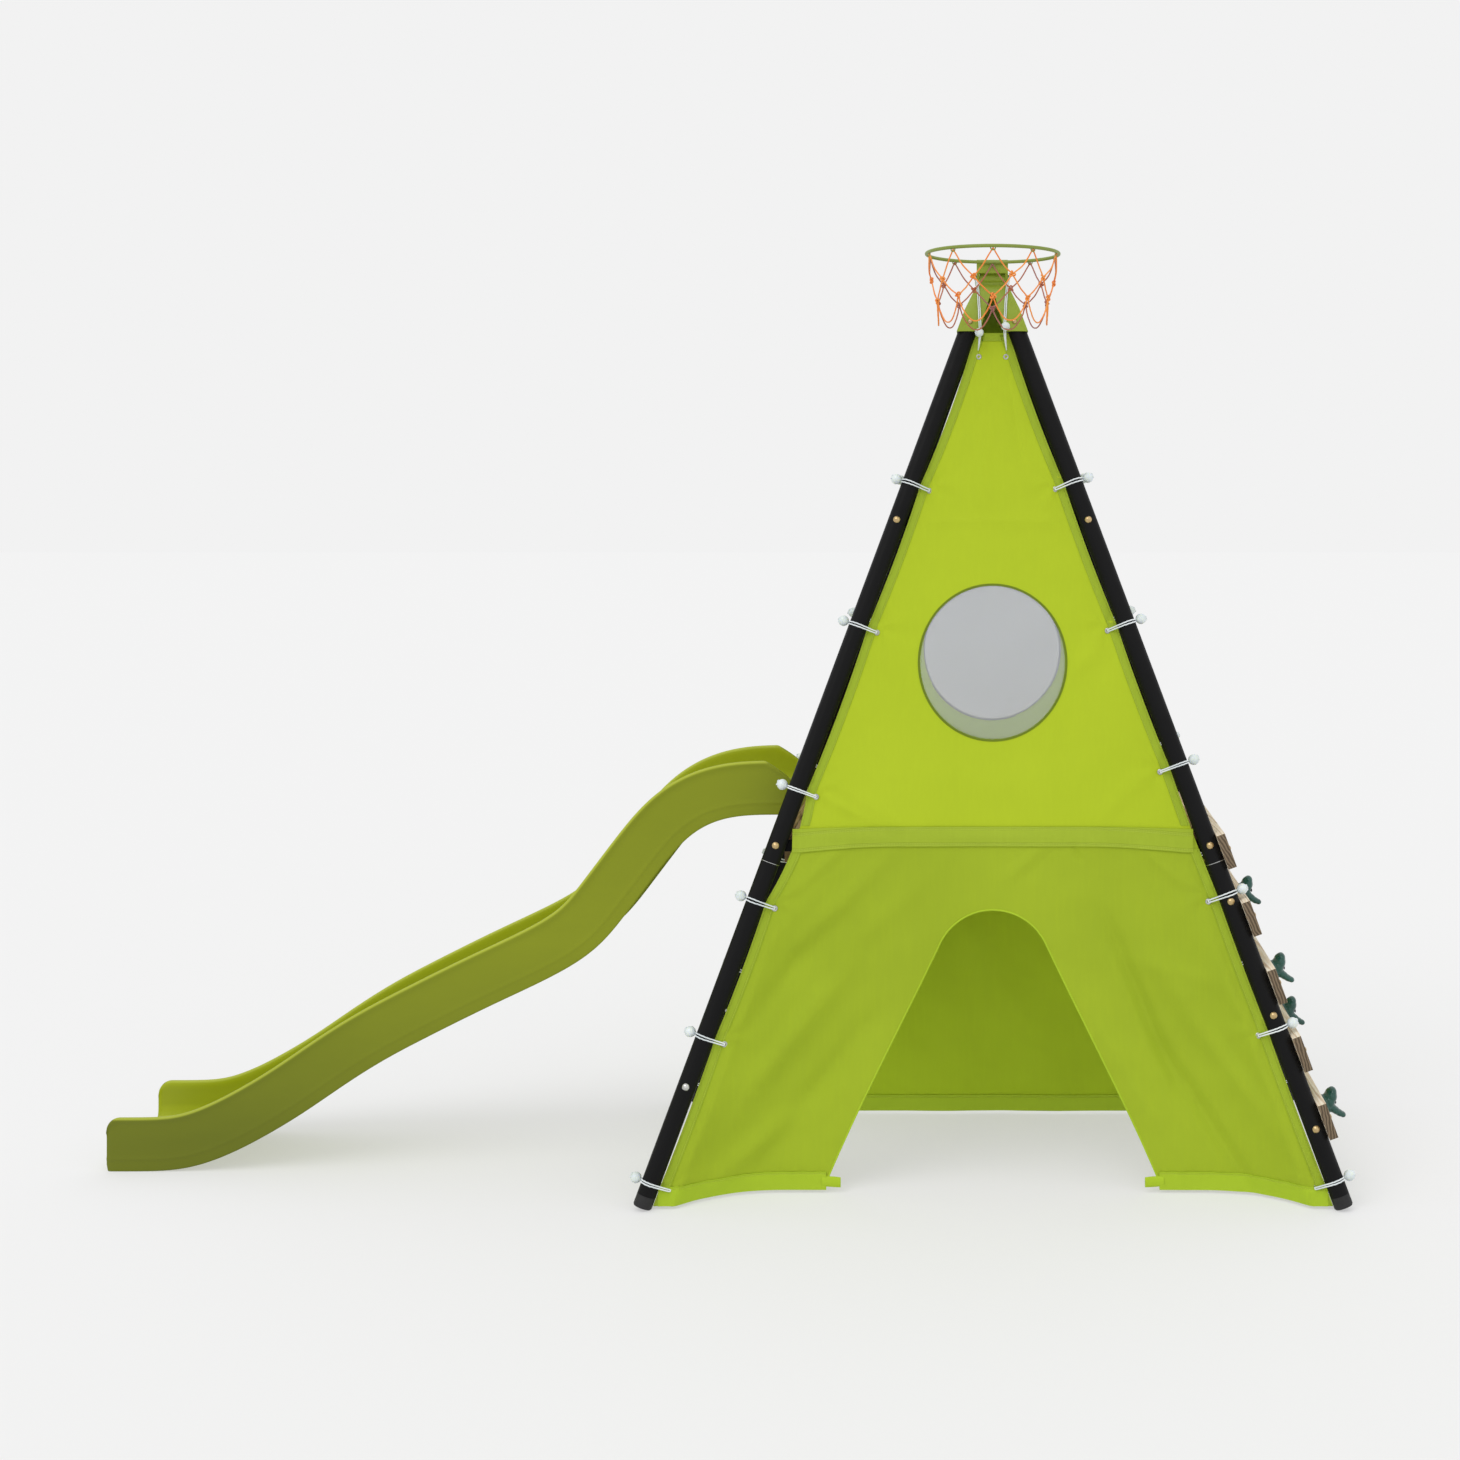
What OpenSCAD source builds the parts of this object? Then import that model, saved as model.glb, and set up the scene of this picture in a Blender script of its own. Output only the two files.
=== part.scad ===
// Tepee climbing frame: four leaning tube legs under an apex cap, a platform,
// a wave slide, a climbing side of slats and holds, two tied-on fabric covers
// and a netted hoop. X runs along the slide, the front is towards -Y, Z is up.
// The origin is under the middle of the whole object, on the ground.

/* [Frame] */
// Distance between the left and right feet, centre to centre
foot_spacing = 1750; // [1550:10:2100]
// Distance between the front and back feet, centre to centre
foot_depth = 880; // [840:10:1060]
// Height at which the two apex spacings are measured
apex_h = 2210; // [1840:10:2660]
// Distance between the left and right legs at that height
apex_spacing = 138; // [130:1:170]
// Distance between the front and back legs at that height
apex_depth = 110; // [104:1:140]
// Outside diameter of the leg tubes
tube_d = 48; // [40:1:52]
// Wall thickness of every steel tube
tube_wall = 2; // [1.5:0.5:3]
// Distance of the joint between the leg tubes below the platform's bolts
joint_drop = 42; // [20:1:110]
// Length of the upper tube's swaged end inside the lower tube
swage_l = 70; // [40:5:75]
// Length of foot cap that shows below the tube
foot_cap_l = 30; // [20:1:45]
// Height of the small flat cut on the underside of each foot cap
foot_flat = 3; // [1:0.5:4]
// Outside diameter of the crossbars
crossbar_d = 32; // [25:1:38]
// Height of the upper crossbars
upper_bar_h = 1709; // [1450:1:1800]

/* [Fasteners] */
// Shank diameter of the frame bolts
bolt_d = 8; // [6:1:10]
// Diameter of the domed bolt heads
bolt_head_d = 18; // [14:1:20]
// Height of the domed bolt heads
bolt_head_h = 5; // [3:0.5:7]
// Heights of the extra bolts in the right legs
right_bolt_h = [192, 463];
// Distance of the right legs' uppermost extra bolt below the tube joint
joint_bolt_drop = 96; // [80:1:120]
// Heights of the extra bolts in the left legs
left_bolt_h = [292];

/* [Platform] */
// Height of the bolts that carry the platform crossbars
platform_h = 878; // [730:1:1055]
// Thickness of the deck and rim boards
board_t = 24; // [18:1:28]
// Number of deck boards
deck_boards = 7; // [5:1:9]
// Gap between two deck boards
deck_gap = 12; // [6:1:16]
// Height of the rim boards
rim_w = 110; // [90:1:130]
// Height of the rim boards above the deck
rim_rise = 23; // [5:1:40]

/* [Climbing side] */
// Width of a climbing slat, measured up the slope
slat_w = 90; // [75:1:105]
// Thickness of a climbing slat
slat_t = 22; // [16:1:28]
// Heights of the slats' middles, from the top one down
slat_h = [857, 692, 527, 365, 205];
// How far a slat runs past the leg's centre line at each end
slat_overhang = 34; // [24:1:50]
// Height of a climbing hold, measured up the slope
hold_h = 85; // [70:1:90]
// How far a hold stands out of its slat
hold_out = 46; // [36:1:56]
// Distance of each hold from the front end of its slat, top hold first
hold_from_front = [300, 150, 370, 120];

/* [Slide] */
// Horizontal length of the slide, from its head to its exit
slide_run = 1814; // [1500:1:2200]
// Outside width of the slide
slide_w = 340; // [300:1:420]
// Height of the slide's side walls, square to its bed
slide_wall_h = 142; // [110:1:170]
// Height of the bed above the walls' lower edges
bed_lift = 37; // [30:1:50]
// Thickness of the moulded plastic
slide_t = 6; // [4:0.5:8]
// Width of the rim along the walls' top edges
slide_rim_w = 16; // [12:1:22]

/* [Covers] */
// Thickness of the cover solids
cloth_t = 3; // [2:0.5:4]
// Height of the seam between the panels, above the platform's bolts
seam_rise = 22; // [15:1:80]
// Width of the seam band
seam_band_w = 51; // [35:1:60]
// Height of the covers' top edge
cover_top_h = 2212; // [1800:1:2600]
// Height of the covers' hem above the ground
hem_h = 8; // [6:1:30]
// Radius of the round windows
window_r = 196; // [150:1:210]
// Height of the windows' middle
window_h = 1342; // [1280:1:1400]
// Radius of the doorway's arch
door_arch_r = 150; // [120:1:170]
// Height of the middle of the doorway's arch
door_spring_h = 564; // [480:1:640]
// Half width of the doorway at the ground
door_foot_w = 436; // [380:1:470]
// How far the doorway's edges bow outwards
door_bow = 6; // [0:1:20]

/* [Ties] */
// Heights of the ties on the left legs, the lowest first
tie_h_left = [62, 409, 740, 1017, 1435, 1806, 2165];
// Heights of the ties on the right legs, the lowest first
tie_h_right = [67, 430, 757, 1080, 1440, 1810, 2165];
// Diameter of the elastic cord
tie_d = 5; // [4:0.5:6]
// Distance from the leg's centre line to the eyelet
eyelet_in = 52; // [46:1:60]
// Outside diameter of an eyelet
eyelet_d = 16; // [13:1:18]
// Diameter of the toggle balls
ball_d = 28; // [22:1:32]

/* [Hoop] */
// Radius of the hoop at the middle of its rod
hoop_r = 171; // [150:1:190]
// Diameter of the hoop's rod
hoop_rod = 9; // [7:0.5:12]
// Width of the hoop's bracket
bracket_w = 84; // [70:1:100]
// Depth of the net below the hoop
net_l = 180; // [120:1:220]
// Radius of the net at its bottom
net_r = 136; // [110:1:145]
// Number of hooks that hold the net
hooks = 10; // [8:1:12]

/* [Hidden] */
$fn = 48;
fit = 0.3;
slip = 0.6;

steel_black = "#26262A";
cap_green = "#8CA023";
cover_green = "#B2C930";
slide_green = "#808720";
timber = "#C2A981";
hold_green = "#1E4B44";
brass = "#B08A45";
white = "#E8ECEC";
net_orange = "#EB8C32";

// Lean of the frame: horizontal travel of a leg for each millimetre of height
lean_x = (foot_spacing - apex_spacing) / 2 / apex_h;
lean_y = (foot_depth - apex_depth) / 2 / apex_h;
face_a = atan(lean_y);
leg_a = atan(lean_x * cos(face_a));
side_a = atan(lean_x);
leg_per_h = 1 / cos(face_a) / cos(leg_a);
tube_r = tube_d / 2;
function leg_x(h) = foot_spacing / 2 - lean_x * h;
function leg_y(h) = foot_depth / 2 - lean_y * h;

// Feet: the cap's end is square to the leg, and its lowest edge is cut level
foot_lean = acos(cos(face_a) * cos(leg_a));
foot_end = (tube_r * sin(foot_lean) - foot_flat) / cos(foot_lean);
foot_round = 5;
plug_l = 30;
leg_start = foot_end + foot_cap_l;
joint_h = platform_h - joint_drop;
joint_s = joint_h * leg_per_h;
leg_top_h = apex_h + 62;
leg_top_s = leg_top_h * leg_per_h;

// Crossbars: flattened ends behind the legs
tongue_t = 4;
bar_in = tube_r + fit + tongue_t / 2;
bar_y = leg_y(platform_h) - bar_in * cos(face_a);
bar_z = platform_h - bar_in * sin(face_a);

// Platform
deck_bottom = bar_z + crossbar_d / 2 + fit;
deck_top = deck_bottom + board_t;
rim_top = deck_top + rim_rise;
rim_x = leg_x(platform_h) - tube_r - 5;
rim_half = bar_y - crossbar_d / 2 - fit;
deck_half = rim_x - board_t / 2 - 2;
deck_board_w = (2 * deck_half - (deck_boards - 1) * deck_gap) / deck_boards;
deck_board_half = bar_y + crossbar_d / 2 - 4;
screw_d = 5;
screw_head_d = 10;
screw_head_h = 3;

// Climbing side
slat_in = tube_r + fit;
slat_bolt_end = tube_r - tube_wall - 8;
hold_r = hold_h * 0.25;

// Slide: its lower edge as shares of the run and of the head's height
slide_line = [
    [0, 1], [0.035, 1], [0.07, 1], [0.11, 0.99], [0.16, 0.938], [0.235, 0.755], [0.285, 0.633],
    [0.345, 0.556], [0.45, 0.459], [0.53, 0.382], [0.60, 0.311], [0.66, 0.237], [0.72, 0.157],
    [0.79, 0.078], [0.84, 0.033], [0.885, 0.006], [0.93, 0], [1, 0]
];
head_x = rim_x - board_t / 2;
head_z = rim_top + fit;
spans = len(slide_line) - 1;
span_steps = 5;
slide_corner = 36;
wall_first = span_steps + 1;
slide_reach = head_x + slide_run;

// The frame stands off the middle, so that the whole object is centred
right_reach = leg_x(tie_h_right[0]) + (tube_r + tie_d + ball_d) * cos(leg_a);
frame_x = (slide_reach - right_reach) / 2;

// Covers
seam_h = platform_h + seam_rise;
edge_in = tube_r + 3;
flat_w = 2 * (eyelet_in - edge_in);
hang_w = 260;
hang_max = 0.75;
film_t = 1;
binding_w = 12;
binding_t = 2;
loop_r = tube_r + tie_d / 2 + fit;
ball_out = tube_r + tie_d / 2 + ball_d / 2;
function edge_x(h) = leg_x(h) - edge_in / cos(leg_a);

// Apex cap: half sizes at its mouth, at the tube ends and at its shoulder
cap_wall = 2.6;
cap_mouth_h = apex_h + 5;
cap_bend_h = leg_top_h + 3;
cap_shoulder_h = apex_h + 132;
cap_shoulder = 42;
pivot_y = -34;
pivot_z = cap_shoulder_h + 21;
lug_r = 14;
lug_half = bracket_w / 2 - 8;

// Hoop
hoop_z = pivot_z + 37;
block_back = pivot_y - 11;
block_front = pivot_y - 35;
hoop_y = block_front - fit - hoop_rod / 2 - hoop_r;
block_low = pivot_z + 9;
block_high = pivot_z + 44;
hook_r = 6;
hook_rod = 3;

// ---------- places ----------

module about_frame() {
    translate([frame_x, 0, 0]) children();
}

// In the leaning plane of a cover: X across, Z up the slope, -Y outwards
module on_face(back) {
    about_frame()
        mirror([0, back ? 1 : 0, 0])
            translate([0, -foot_depth / 2, 0])
                rotate([-face_a, 0, 0])
                    children();
}

// On a leg's centre line at height h: +X outwards in the cover's plane, Z up the leg
module on_leg(right, back, h) {
    on_face(back)
        mirror([right ? 0 : 1, 0, 0])
            translate([foot_spacing / 2, 0, 0])
                rotate([0, -leg_a, 0])
                    translate([0, 0, h * leg_per_h])
                        children();
}

// In the leaning plane of the right legs at height h: +X outwards, Z up the slope
module on_side(h) {
    about_frame()
        translate([foot_spacing / 2, 0, 0])
            rotate([0, -side_a, 0])
                translate([0, 0, h / cos(side_a)])
                    children();
}

module every_leg() {
    for (right = [false, true], back = [false, true]) {
        $right = right;
        $back = back;
        children();
    }
}

// ---------- shared shapes ----------

module tube(r, wall, l) {
    difference() {
        cylinder(r = r, h = l);
        translate([0, 0, -1]) cylinder(r = r - wall, h = l + 2);
    }
}

module torus(r, rod) {
    rotate_extrude() translate([r, 0]) circle(d = rod);
}

// Domed head standing on its flat face
module dome(d, h) {
    ball_r = (d * d / 4 + h * h) / (2 * h);
    intersection() {
        translate([0, 0, h - ball_r]) sphere(r = ball_r);
        cylinder(d = d + 2, h = h + 1);
    }
}

// Bolt along +Z whose head stands below the origin
module bolt(l, d = bolt_d, head_d = bolt_head_d, head_h = bolt_head_h) {
    mirror([0, 0, 1]) dome(head_d, head_h);
    cylinder(d = d, h = l);
}

right_heights = concat(right_bolt_h, [joint_h - joint_bolt_drop]);

// Through hole of a leg bolt, square to the cover's plane
module leg_bolt_hole() {
    rotate([90, 0, 0]) cylinder(d = bolt_d + slip, h = tube_d + 4, center = true);
}

function bolt_heights(right) =
    concat([platform_h, upper_bar_h], right ? right_heights : left_bolt_h);
function is_bar_bolt(h) = h == platform_h || h == upper_bar_h;
function tie_heights(right) = right ? tie_h_right : tie_h_left;

// ---------- frame ----------

module leg_lower(right, back) {
    color(steel_black) difference() {
        on_leg(right, back, 0)
            translate([0, 0, leg_start])
                tube(tube_r, tube_wall, joint_s - leg_start - fit);
        for (h = bolt_heights(right))
            if (h < joint_h) on_leg(right, back, h) leg_bolt_hole();
        if (right)
            for (h = slat_h)
                if (h < joint_h) slat_bolt_hole(h, back);
    }
}

module leg_upper(right, back) {
    swage_r = tube_r - tube_wall - fit;
    color(steel_black) difference() {
        on_leg(right, back, 0) {
            translate([0, 0, joint_s]) tube(tube_r, tube_wall, leg_top_s - joint_s);
            translate([0, 0, joint_s - swage_l]) tube(swage_r, tube_wall, swage_l);
            translate([0, 0, joint_s]) tube(tube_r, tube_r - swage_r + tube_wall, 2 * tube_wall);
        }
        for (h = bolt_heights(right))
            if (h > joint_h) on_leg(right, back, h) leg_bolt_hole();
        if (right)
            for (h = slat_h)
                if (h > joint_h) slat_bolt_hole(h, back);
        on_leg(right, back, cap_bolt_h) leg_bolt_hole();
    }
}

module foot_caps() {
    color(steel_black)
        every_leg()
            intersection() {
                on_leg($right, $back, 0) translate([0, 0, foot_end]) foot_cap();
                translate([-5000, -5000, 0]) cube([10000, 10000, 200]);
            }
}

module foot_cap() {
    core_r = tube_r - foot_round;
    cylinder(r = core_r, h = foot_cap_l - fit);
    translate([0, 0, foot_round]) cylinder(r = tube_r, h = foot_cap_l - foot_round - fit);
    translate([0, 0, foot_round]) torus(core_r, 2 * foot_round);
    cylinder(r = tube_r - tube_wall - fit, h = foot_cap_l + plug_l);
}

module crossbar(back, h, d) {
    up = h / cos(face_a);
    tip = leg_x(h);
    body_half = tip - (tube_r + d / 2 * sin(leg_a)) / cos(leg_a) - 8;
    color(steel_black)
        on_face(back)
            translate([0, bar_in, up])
                difference() {
                    union() {
                        translate([-body_half, 0, 0])
                            rotate([0, 90, 0])
                                tube(d / 2, tube_wall, 2 * body_half);
                        for (side = [0, 1])
                            mirror([side, 0, 0]) crossbar_tongue(body_half, tip, d);
                    }
                    for (side = [-1, 1])
                        translate([side * tip, 0, 0])
                            rotate([90, 0, 0])
                                cylinder(d = bolt_d + slip, h = 2 * tongue_t, center = true);
                }
}

module crossbar_tongue(body_half, tip, d) {
    w = d - 2;
    root = body_half - 12;
    translate([root, -tongue_t / 2, -w / 2]) cube([tip - root, tongue_t, w]);
    translate([tip, 0, 0]) rotate([90, 0, 0]) cylinder(d = w, h = tongue_t, center = true);
}

nut_h = 6;
nut_d = 14;

function bolt_grip(h) = tube_d + (is_bar_bolt(h) ? fit + tongue_t : 0);

module leg_bolts() {
    color(brass)
        every_leg()
            for (h = bolt_heights($right))
                on_leg($right, $back, h)
                    translate([0, -tube_r - fit, 0])
                        rotate([-90, 0, 0])
                            bolt(bolt_grip(h) + nut_h + 2 * fit + 2);
}

module leg_nuts() {
    color(steel_black)
        every_leg()
            for (h = bolt_heights($right))
                on_leg($right, $back, h)
                    translate([0, -tube_r + bolt_grip(h) + fit, 0])
                        rotate([-90, 0, 0])
                            difference() {
                                cylinder(d = nut_d, h = nut_h, $fn = 6);
                                translate([0, 0, -1])
                                    cylinder(d = bolt_d + fit, h = nut_h + 2);
                            }
}

// ---------- apex cap and hoop ----------

cap_bolt_h = cap_mouth_h + 22;

// Half width of the cap at its mouth, at the tube ends and at its shoulder
function cap_x(h) = leg_x(h) + tube_r / cos(side_a) + cap_wall;
function cap_y(h) = leg_y(h) + tube_r / cos(face_a) + cap_wall;

module apex_outline(mouth, bend, shoulder) {
    polygon([
        [-mouth, cap_mouth_h], [mouth, cap_mouth_h], [bend, cap_bend_h],
        [shoulder, cap_shoulder_h], [-shoulder, cap_shoulder_h], [-bend, cap_bend_h]
    ]);
}

module upright(depth) {
    rotate([90, 0, 0]) linear_extrude(depth, center = true) children();
}

module apex_cap() {
    color(cap_green)
        difference() {
            union() {
                about_frame() apex_body();
                about_frame() hoop_lug();
            }
            every_leg()
                on_leg($right, $back, 0)
                    translate([0, 0, leg_top_s - 200])
                        cylinder(r = tube_r + fit, h = 200 + fit);
            about_frame() apex_hollow();
            about_frame()
                translate([0, pivot_y, pivot_z])
                    rotate([0, 90, 0])
                        cylinder(d = bolt_d + slip, h = bracket_w + 20, center = true);
            every_leg() on_leg($right, $back, cap_bolt_h) cap_bolt_hole();
        }
}

module apex_body() {
    intersection() {
        upright(400) apex_outline(cap_x(cap_mouth_h), cap_x(cap_bend_h), cap_shoulder);
        rotate([0, 0, 90])
            upright(400) apex_outline(cap_y(cap_mouth_h), cap_y(cap_bend_h), cap_shoulder);
    }
}

// Open middle of the cap, with a pointed slot to the front and a closed back
module apex_hollow() {
    mouth = 34;
    back_wall = 6;
    slot_top = cap_shoulder_h - 20;
    intersection() {
        upright(400)
            polygon([[-mouth, cap_mouth_h - 1], [mouth, cap_mouth_h - 1], [4, slot_top], [-4, slot_top]]);
        translate([0, -back_wall, 0])
            rotate([90, 0, 90])
                linear_extrude(2 * mouth, center = true)
                    polygon([
                        [-200, cap_mouth_h - 1], [cap_y(cap_mouth_h), cap_mouth_h - 1],
                        [cap_y(cap_bend_h), cap_bend_h], [cap_shoulder, cap_shoulder_h],
                        [-200, cap_shoulder_h]
                    ]);
    }
}

module hoop_lug() {
    translate([-lug_half, pivot_y, 0])
        rotate([90, 0, 90])
            linear_extrude(2 * lug_half) {
                translate([0, pivot_z]) circle(r = lug_r);
                translate([-5, cap_shoulder_h - 6]) square([5 + lug_r, pivot_z - cap_shoulder_h + 6]);
            }
}

module cap_bolt_hole() {
    rotate([90, 0, 0]) cylinder(d = bolt_d + slip, h = 200, center = true);
}

module cap_bolts() {
    color(brass)
        every_leg()
            on_leg($right, $back, cap_bolt_h)
                translate([0, -tube_r - cap_wall - 1, 0])
                    rotate([-90, 0, 0])
                        bolt(tube_d - tube_wall - 2, bolt_d, bolt_head_d - 4, bolt_head_h);
}

module hoop_ring() {
    tab_w = 14;
    tab_x = 24;
    tab_back = block_front;
    color(cap_green)
        about_frame() {
            translate([0, hoop_y, hoop_z]) torus(hoop_r, hoop_rod);
            for (side = [-1, 1])
                translate([side * tab_x - tab_w / 2, tab_back - 9, hoop_z - 3])
                    cube([tab_w, 9 - fit, 6]);
        }
}

module cheek_outline() {
    translate([pivot_y, pivot_z]) circle(r = lug_r - 1);
    polygon([
        [pivot_y, pivot_z - lug_r + 1], [block_front, block_low],
        [block_front, block_high], [block_back, block_high], [pivot_y, pivot_z + lug_r - 1]
    ]);
}

module hoop_bracket() {
    cheek_t = bracket_w / 2 - lug_half - fit;
    color(cap_green)
        about_frame()
            difference() {
                union() {
                    translate([-bracket_w / 2, block_front, block_low])
                        cube([bracket_w, block_back - block_front, block_high - block_low]);
                    for (x = [-bracket_w / 2, lug_half + fit])
                        translate([x, 0, 0])
                            rotate([90, 0, 90])
                                linear_extrude(cheek_t) cheek_outline();
                }
                translate([0, pivot_y, pivot_z])
                    rotate([0, 90, 0])
                        cylinder(d = bolt_d + slip, h = bracket_w + 2, center = true);
            }
}

module hoop_pivot_bolt() {
    half = bracket_w / 2 + fit;
    color(steel_black)
        about_frame()
            translate([0, pivot_y, pivot_z])
                rotate([0, -90, 0])
                    translate([0, 0, -half]) {
                        bolt(2 * half + nut_h, bolt_d, bolt_head_d - 2, bolt_head_h);
                        translate([0, 0, 2 * half]) cylinder(d = nut_d, h = nut_h, $fn = 6);
                    }
}

module net_hooks() {
    color(cap_green)
        about_frame()
            translate([0, hoop_y, hoop_z - hoop_rod / 2 - fit])
                for (i = [0:hooks - 1])
                    rotate([0, 0, (i + 0.5) * 360 / hooks])
                        translate([hoop_r, 0, 0])
                            net_hook();
}

// U of rod under the hoop, in the plane that follows the hoop
module net_hook() {
    rotate([90, 0, 90])
        rotate([0, 0, 180])
            rotate_extrude(angle = 180) translate([hook_r, 0]) circle(d = hook_rod);
}

module net() {
    top_r = hoop_r - hook_rod / 2 - fit;
    top_z = hoop_z - hoop_rod / 2 - hook_rod - 2;
    net_t = 2.5;
    color(net_orange)
        about_frame()
            translate([0, hoop_y, 0])
                rotate_extrude()
                    polygon([
                        [top_r, top_z], [net_r, top_z - net_l],
                        [net_r - net_t, top_z - net_l], [top_r - net_t, top_z]
                    ]);
}

// ---------- platform ----------

module platform_rim(right) {
    color(timber)
        about_frame()
            mirror([right ? 0 : 1, 0, 0])
                difference() {
                    translate([rim_x - board_t / 2, -rim_half, rim_top - rim_w])
                        cube([board_t, 2 * rim_half, rim_w]);
                    if (!right)
                        for (side = [-1, 1])
                            translate([rim_x, side * slide_bolt_y, rim_top - slide_bolt_deep])
                                cylinder(d = bolt_d + slip, h = slide_bolt_deep + 1);
                }
}

function deck_board_x(i) = -deck_half + (i - 1) * (deck_board_w + deck_gap) + deck_board_w / 2;

module deck_board(i) {
    color(timber)
        about_frame()
            translate([deck_board_x(i), 0, deck_bottom])
                difference() {
                    translate([-deck_board_w / 2, -deck_board_half, 0])
                        cube([deck_board_w, 2 * deck_board_half, board_t]);
                    for (side = [-1, 1])
                        translate([0, side * bar_y, 0]) {
                            translate([0, 0, -1])
                                cylinder(d = screw_d + fit, h = board_t + 2);
                            translate([0, 0, board_t - screw_head_h - fit])
                                cylinder(d = screw_head_d + slip, h = screw_head_h + 1);
                        }
                }
}

module deck_screws() {
    color(brass)
        about_frame()
            for (i = [1:deck_boards], side = [-1, 1])
                translate([deck_board_x(i), side * bar_y, deck_bottom]) {
                    cylinder(d = screw_d, h = board_t - 1);
                    translate([0, 0, board_t - screw_head_h])
                        cylinder(d = screw_head_d, h = screw_head_h);
                }
}

// ---------- climbing side ----------

function slat_half(h) = leg_y(h) + slat_overhang;

module slat_bolt_hole(h, back) {
    on_side(h)
        translate([0, back ? leg_y(h) : -leg_y(h), 0])
            rotate([0, 90, 0])
                cylinder(d = bolt_d + slip, h = tube_d + slat_t);
}

module climbing_slat(i) {
    h = slat_h[i - 1];
    color(timber)
        difference() {
            on_side(h)
                translate([slat_in, -slat_half(h), -slat_w / 2])
                    cube([slat_t, 2 * slat_half(h), slat_w]);
            for (back = [false, true]) slat_bolt_hole(h, back);
            if (i > 1) hold_place(i) hold_bolt_hole();
        }
}

module slat_bolts() {
    color(brass)
        for (h = slat_h, side = [-1, 1])
            on_side(h)
                translate([slat_in + slat_t + fit, side * leg_y(h), 0])
                    rotate([0, -90, 0])
                        bolt(slat_in + slat_t - slat_bolt_end, bolt_d, bolt_head_d - 2, 4);
}

// On the outer face of slat i, at its hold: +X outwards, Z up the slope
module hold_place(i) {
    h = slat_h[i - 1];
    on_side(h)
        translate([slat_in + slat_t + fit, -slat_half(h) + hold_from_front[i - 2], 0])
            children();
}

module hold_bolt_hole() {
    rotate([0, 90, 0]) cylinder(d = bolt_d + slip, h = 3 * slat_t, center = true);
}

// A rounded upper lobe on a base, a neck and a prong that curls outwards
module climbing_hold() {
    lobe_z = hold_h * 0.16;
    prong_r = hold_h * 0.12;
    prong_l = hold_h * 0.42;
    difference() {
        union() {
            rotate([0, 90, 0]) cylinder(r = hold_r * 0.9, h = hold_out * 0.4);
            translate([hold_out - hold_r, 0, lobe_z]) sphere(r = hold_r);
            translate([hold_out * 0.35, 0, 0])
                rotate([0, 180 - 22, 0])
                    cylinder(r = prong_r, h = prong_l);
            translate([hold_out * 0.35 + prong_l * sin(22), 0, -prong_l * cos(22)])
                sphere(r = prong_r * 1.1);
        }
        rotate([0, 90, 0]) cylinder(d = bolt_d + slip, h = 3 * hold_out, center = true);
        translate([hold_out * 0.62, 0, 0])
            rotate([0, 90, 0])
                cylinder(d = bolt_head_d, h = hold_out);
    }
}

module climbing_holds() {
    color(hold_green)
        for (i = [2:len(slat_h)]) hold_place(i) climbing_hold();
}

module hold_bolts() {
    color(steel_black)
        for (i = [2:len(slat_h)])
            hold_place(i)
                translate([hold_out * 0.62 + fit, 0, 0])
                    rotate([0, -90, 0])
                        bolt(hold_out * 0.62 + slat_t + 4, bolt_d, bolt_head_d - 4, 4);
}

// ---------- slide ----------

slide_bolt_y = slide_w / 2 - 60;
slide_bolt_deep = 45;

function line_at(i) = slide_line[max(0, min(spans, i))];

// Catmull-Rom curve through the line's points
function curve(p, q, r, s, t) =
    0.5 * (2 * q + (r - p) * t + (2 * p - 5 * q + 4 * r - s) * t * t
    + (3 * q - p - 3 * r + s) * t * t * t);

function slide_share(k) =
    let (i = min(spans - 1, floor(k / span_steps)), t = k / span_steps - i)
    curve(line_at(i - 1), line_at(i), line_at(i + 1), line_at(i + 2), t);

slide_steps = spans * span_steps;

// Point k of the slide's lower edge, and its unit normal
function slide_point(k) =
    let (share = slide_share(max(0, min(slide_steps, k))))
    [-head_x - slide_run * share[0], max(0, head_z * share[1])];
function slide_normal(k) =
    let (d = slide_point(k + 1) - slide_point(k - 1))
    [d[1], -d[0]] / norm(d);
function slide_raised(k, lift) = slide_point(k) + lift * slide_normal(k);

function slide_edge(lift, first = 0, last = slide_steps) =
    [for (k = [first:last]) slide_raised(k, lift)];
function backwards(list) = [for (i = [len(list) - 1:-1:0]) list[i]];

// Side wall: chamfered at the head and rounded at the exit
module slide_wall_outline() {
    exit_x = -head_x - slide_run;
    centre = [exit_x + slide_corner, slide_wall_h - slide_corner];
    polygon(concat(
        slide_edge(0),
        [for (a = [180:-15:90]) centre + slide_corner * [cos(a), sin(a)]],
        backwards(slide_edge(slide_wall_h, wall_first, slide_steps - 2)),
        [[-head_x - 20, head_z + slide_wall_h * 0.65]]
    ));
}

module slide_strip(low, high, first, last) {
    polygon(concat(slide_edge(low, first, last), backwards(slide_edge(high, first, last))));
}

module across(width, y = 0) {
    translate([0, y, 0]) upright(width) children();
}

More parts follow.
